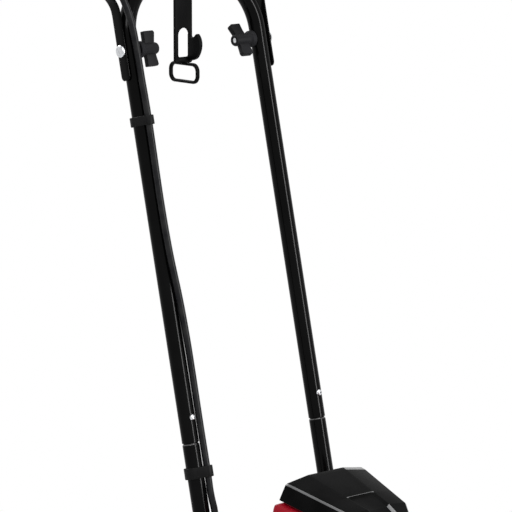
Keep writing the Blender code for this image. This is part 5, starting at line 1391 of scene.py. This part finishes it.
def dress_carriage():
    """The wheel bracket with its axle, the two wheels and the lock knob."""
    direction = bracket_angle()
    reach = hypot(WHEEL_RADIUS - BRACKET_PIVOT_Z, WHEEL_Y - BRACKET_PIVOT_Y)
    end, lock = ((r * cos(direction), r * sin(direction)) for r in (reach, LOCK_REACH))
    dress_wheel_bracket(end, lock)
    for side, name in SIDES:
        dress_wheel(f"wheel_{name}", CARRIER @ Matrix.Translation((side * WHEEL_X, *end)))
    dress_lock_knob(lock)


# Motor bearings, seen through the vents and where the housing is open


def dress_motor_bearings():
    """The two races of each bearing, with the groove between them."""
    bore, outer = 0.0042, 0.0128
    matrix = UNIT @ Matrix.Translation((0, MOTOR_Y, 0))
    for name, (low, high) in MOTOR_BEARINGS.items():
        end = (low - high) / 2
        race = [(bore, end), (0.0066, end), (0.0068, end + 0.0006), (0.0104, end + 0.0006), (0.0106, end)]
        race += [(outer - 0.0004, end), (outer, end + 0.0004)]
        mesh = turned(mirrored(race), 48, (0, 0, (low + high) / 2))
        piece(f"motor_bearing_{name}", "races", mesh, matrix)


# Floor, light and camera


def build_stage():
    builder = bmesh.new()
    bmesh.ops.create_circle(builder, cap_ends=True, segments=96, radius=1.25)
    floor = bpy.data.objects.new("floor", finish_mesh(builder))
    floor.data.materials.append(MATERIALS["floor"])
    floor.location = (0, 0, -0.0004)
    show(floor)


def add_area(name, place, size, power):
    """A white soft box aimed at the middle of the machine."""
    lamp = bpy.data.lights.new(name, "AREA")
    lamp.shape = "RECTANGLE"
    lamp.size, lamp.size_y = size
    lamp.energy = power
    item = bpy.data.objects.new(name, lamp)
    item.location = place
    item.rotation_euler = (Vector(LIGHT_AIM) - Vector(place)).to_track_quat("-Z", "Y").to_euler()
    show(item)


def build_lights():
    """A white surround for the camera, a softer one for the light, and soft boxes at the sides."""
    world = bpy.data.worlds.new("studio")
    bpy.context.scene.world = world
    world.use_nodes = True
    tree = world.node_tree
    tree.nodes.clear()
    seen = add_node(tree, "ShaderNodeBackground", Color=(1, 1, 1, 1), Strength=1.0)
    light = add_node(tree, "ShaderNodeBackground", Color=(0.92, 0.95, 1.0, 1), Strength=0.55)
    path = add_node(tree, "ShaderNodeLightPath")
    shown = path.outputs["Is Camera Ray"]
    for ray in ("Is Glossy Ray", "Is Transmission Ray"):
        either = add_node(tree, "ShaderNodeMath", operation="MAXIMUM")
        tree.links.new(shown, either.inputs[0])
        tree.links.new(path.outputs[ray], either.inputs[1])
        shown = either.outputs["Value"]
    mix = add_node(tree, "ShaderNodeMixShader", Fac=shown)
    tree.links.new(light.outputs["Background"], mix.inputs[1])
    tree.links.new(seen.outputs["Background"], mix.inputs[2])
    add_node(tree, "ShaderNodeOutputWorld", Surface=mix.outputs["Shader"])
    add_area("key_front", (1.05, -2.90, 1.35), (0.55, 1.9), 96)
    add_area("left_high", (-2.1, -1.3, 3.0), (1.3, 1.3), 60)
    add_area("top", (0.3, -0.2, 3.4), (1.6, 1.6), 30)
    add_area("back_edge", (-0.55, 2.2, 2.45), (1.0, 0.4), 44)


def build_camera():
    level = cos(ELEVATION)
    forward = Vector((sin(AZIMUTH) * level, cos(AZIMUTH) * level, -sin(ELEVATION)))
    right = Vector((cos(AZIMUTH), -sin(AZIMUTH), 0))
    camera = bpy.data.cameras.new("camera")
    camera.sensor_width = SENSOR
    camera.lens = SENSOR * FOCAL_PIXELS / IMAGE_PIXELS
    camera.clip_end = 50
    item = bpy.data.objects.new("camera", camera)
    matrix = Matrix((right, right.cross(forward), -forward)).transposed().to_4x4()
    matrix.translation = TARGET - forward * DISTANCE
    item.matrix_world = matrix
    show(item)
    bpy.context.scene.camera = item
    bpy.context.scene.view_settings.view_transform = "Standard"


def main():
    dress_nodes()
    dress_tubes()
    dress_screws()
    dress_fold_bolts()
    dress_wing_knobs()
    dress_clips()
    dress_lead()
    dress_glands()
    dress_handle()
    dress_bail()
    dress_switch_box()
    dress_button()
    dress_inlet()
    dress_hook()
    dress_frame_bracket()
    dress_hood()
    dress_motor_shells()
    dress_gearbox()
    dress_seals()
    dress_tines()
    dress_guard()
    dress_carriage()
    dress_motor_bearings()
    build_stage()
    build_lights()
    build_camera()


main()
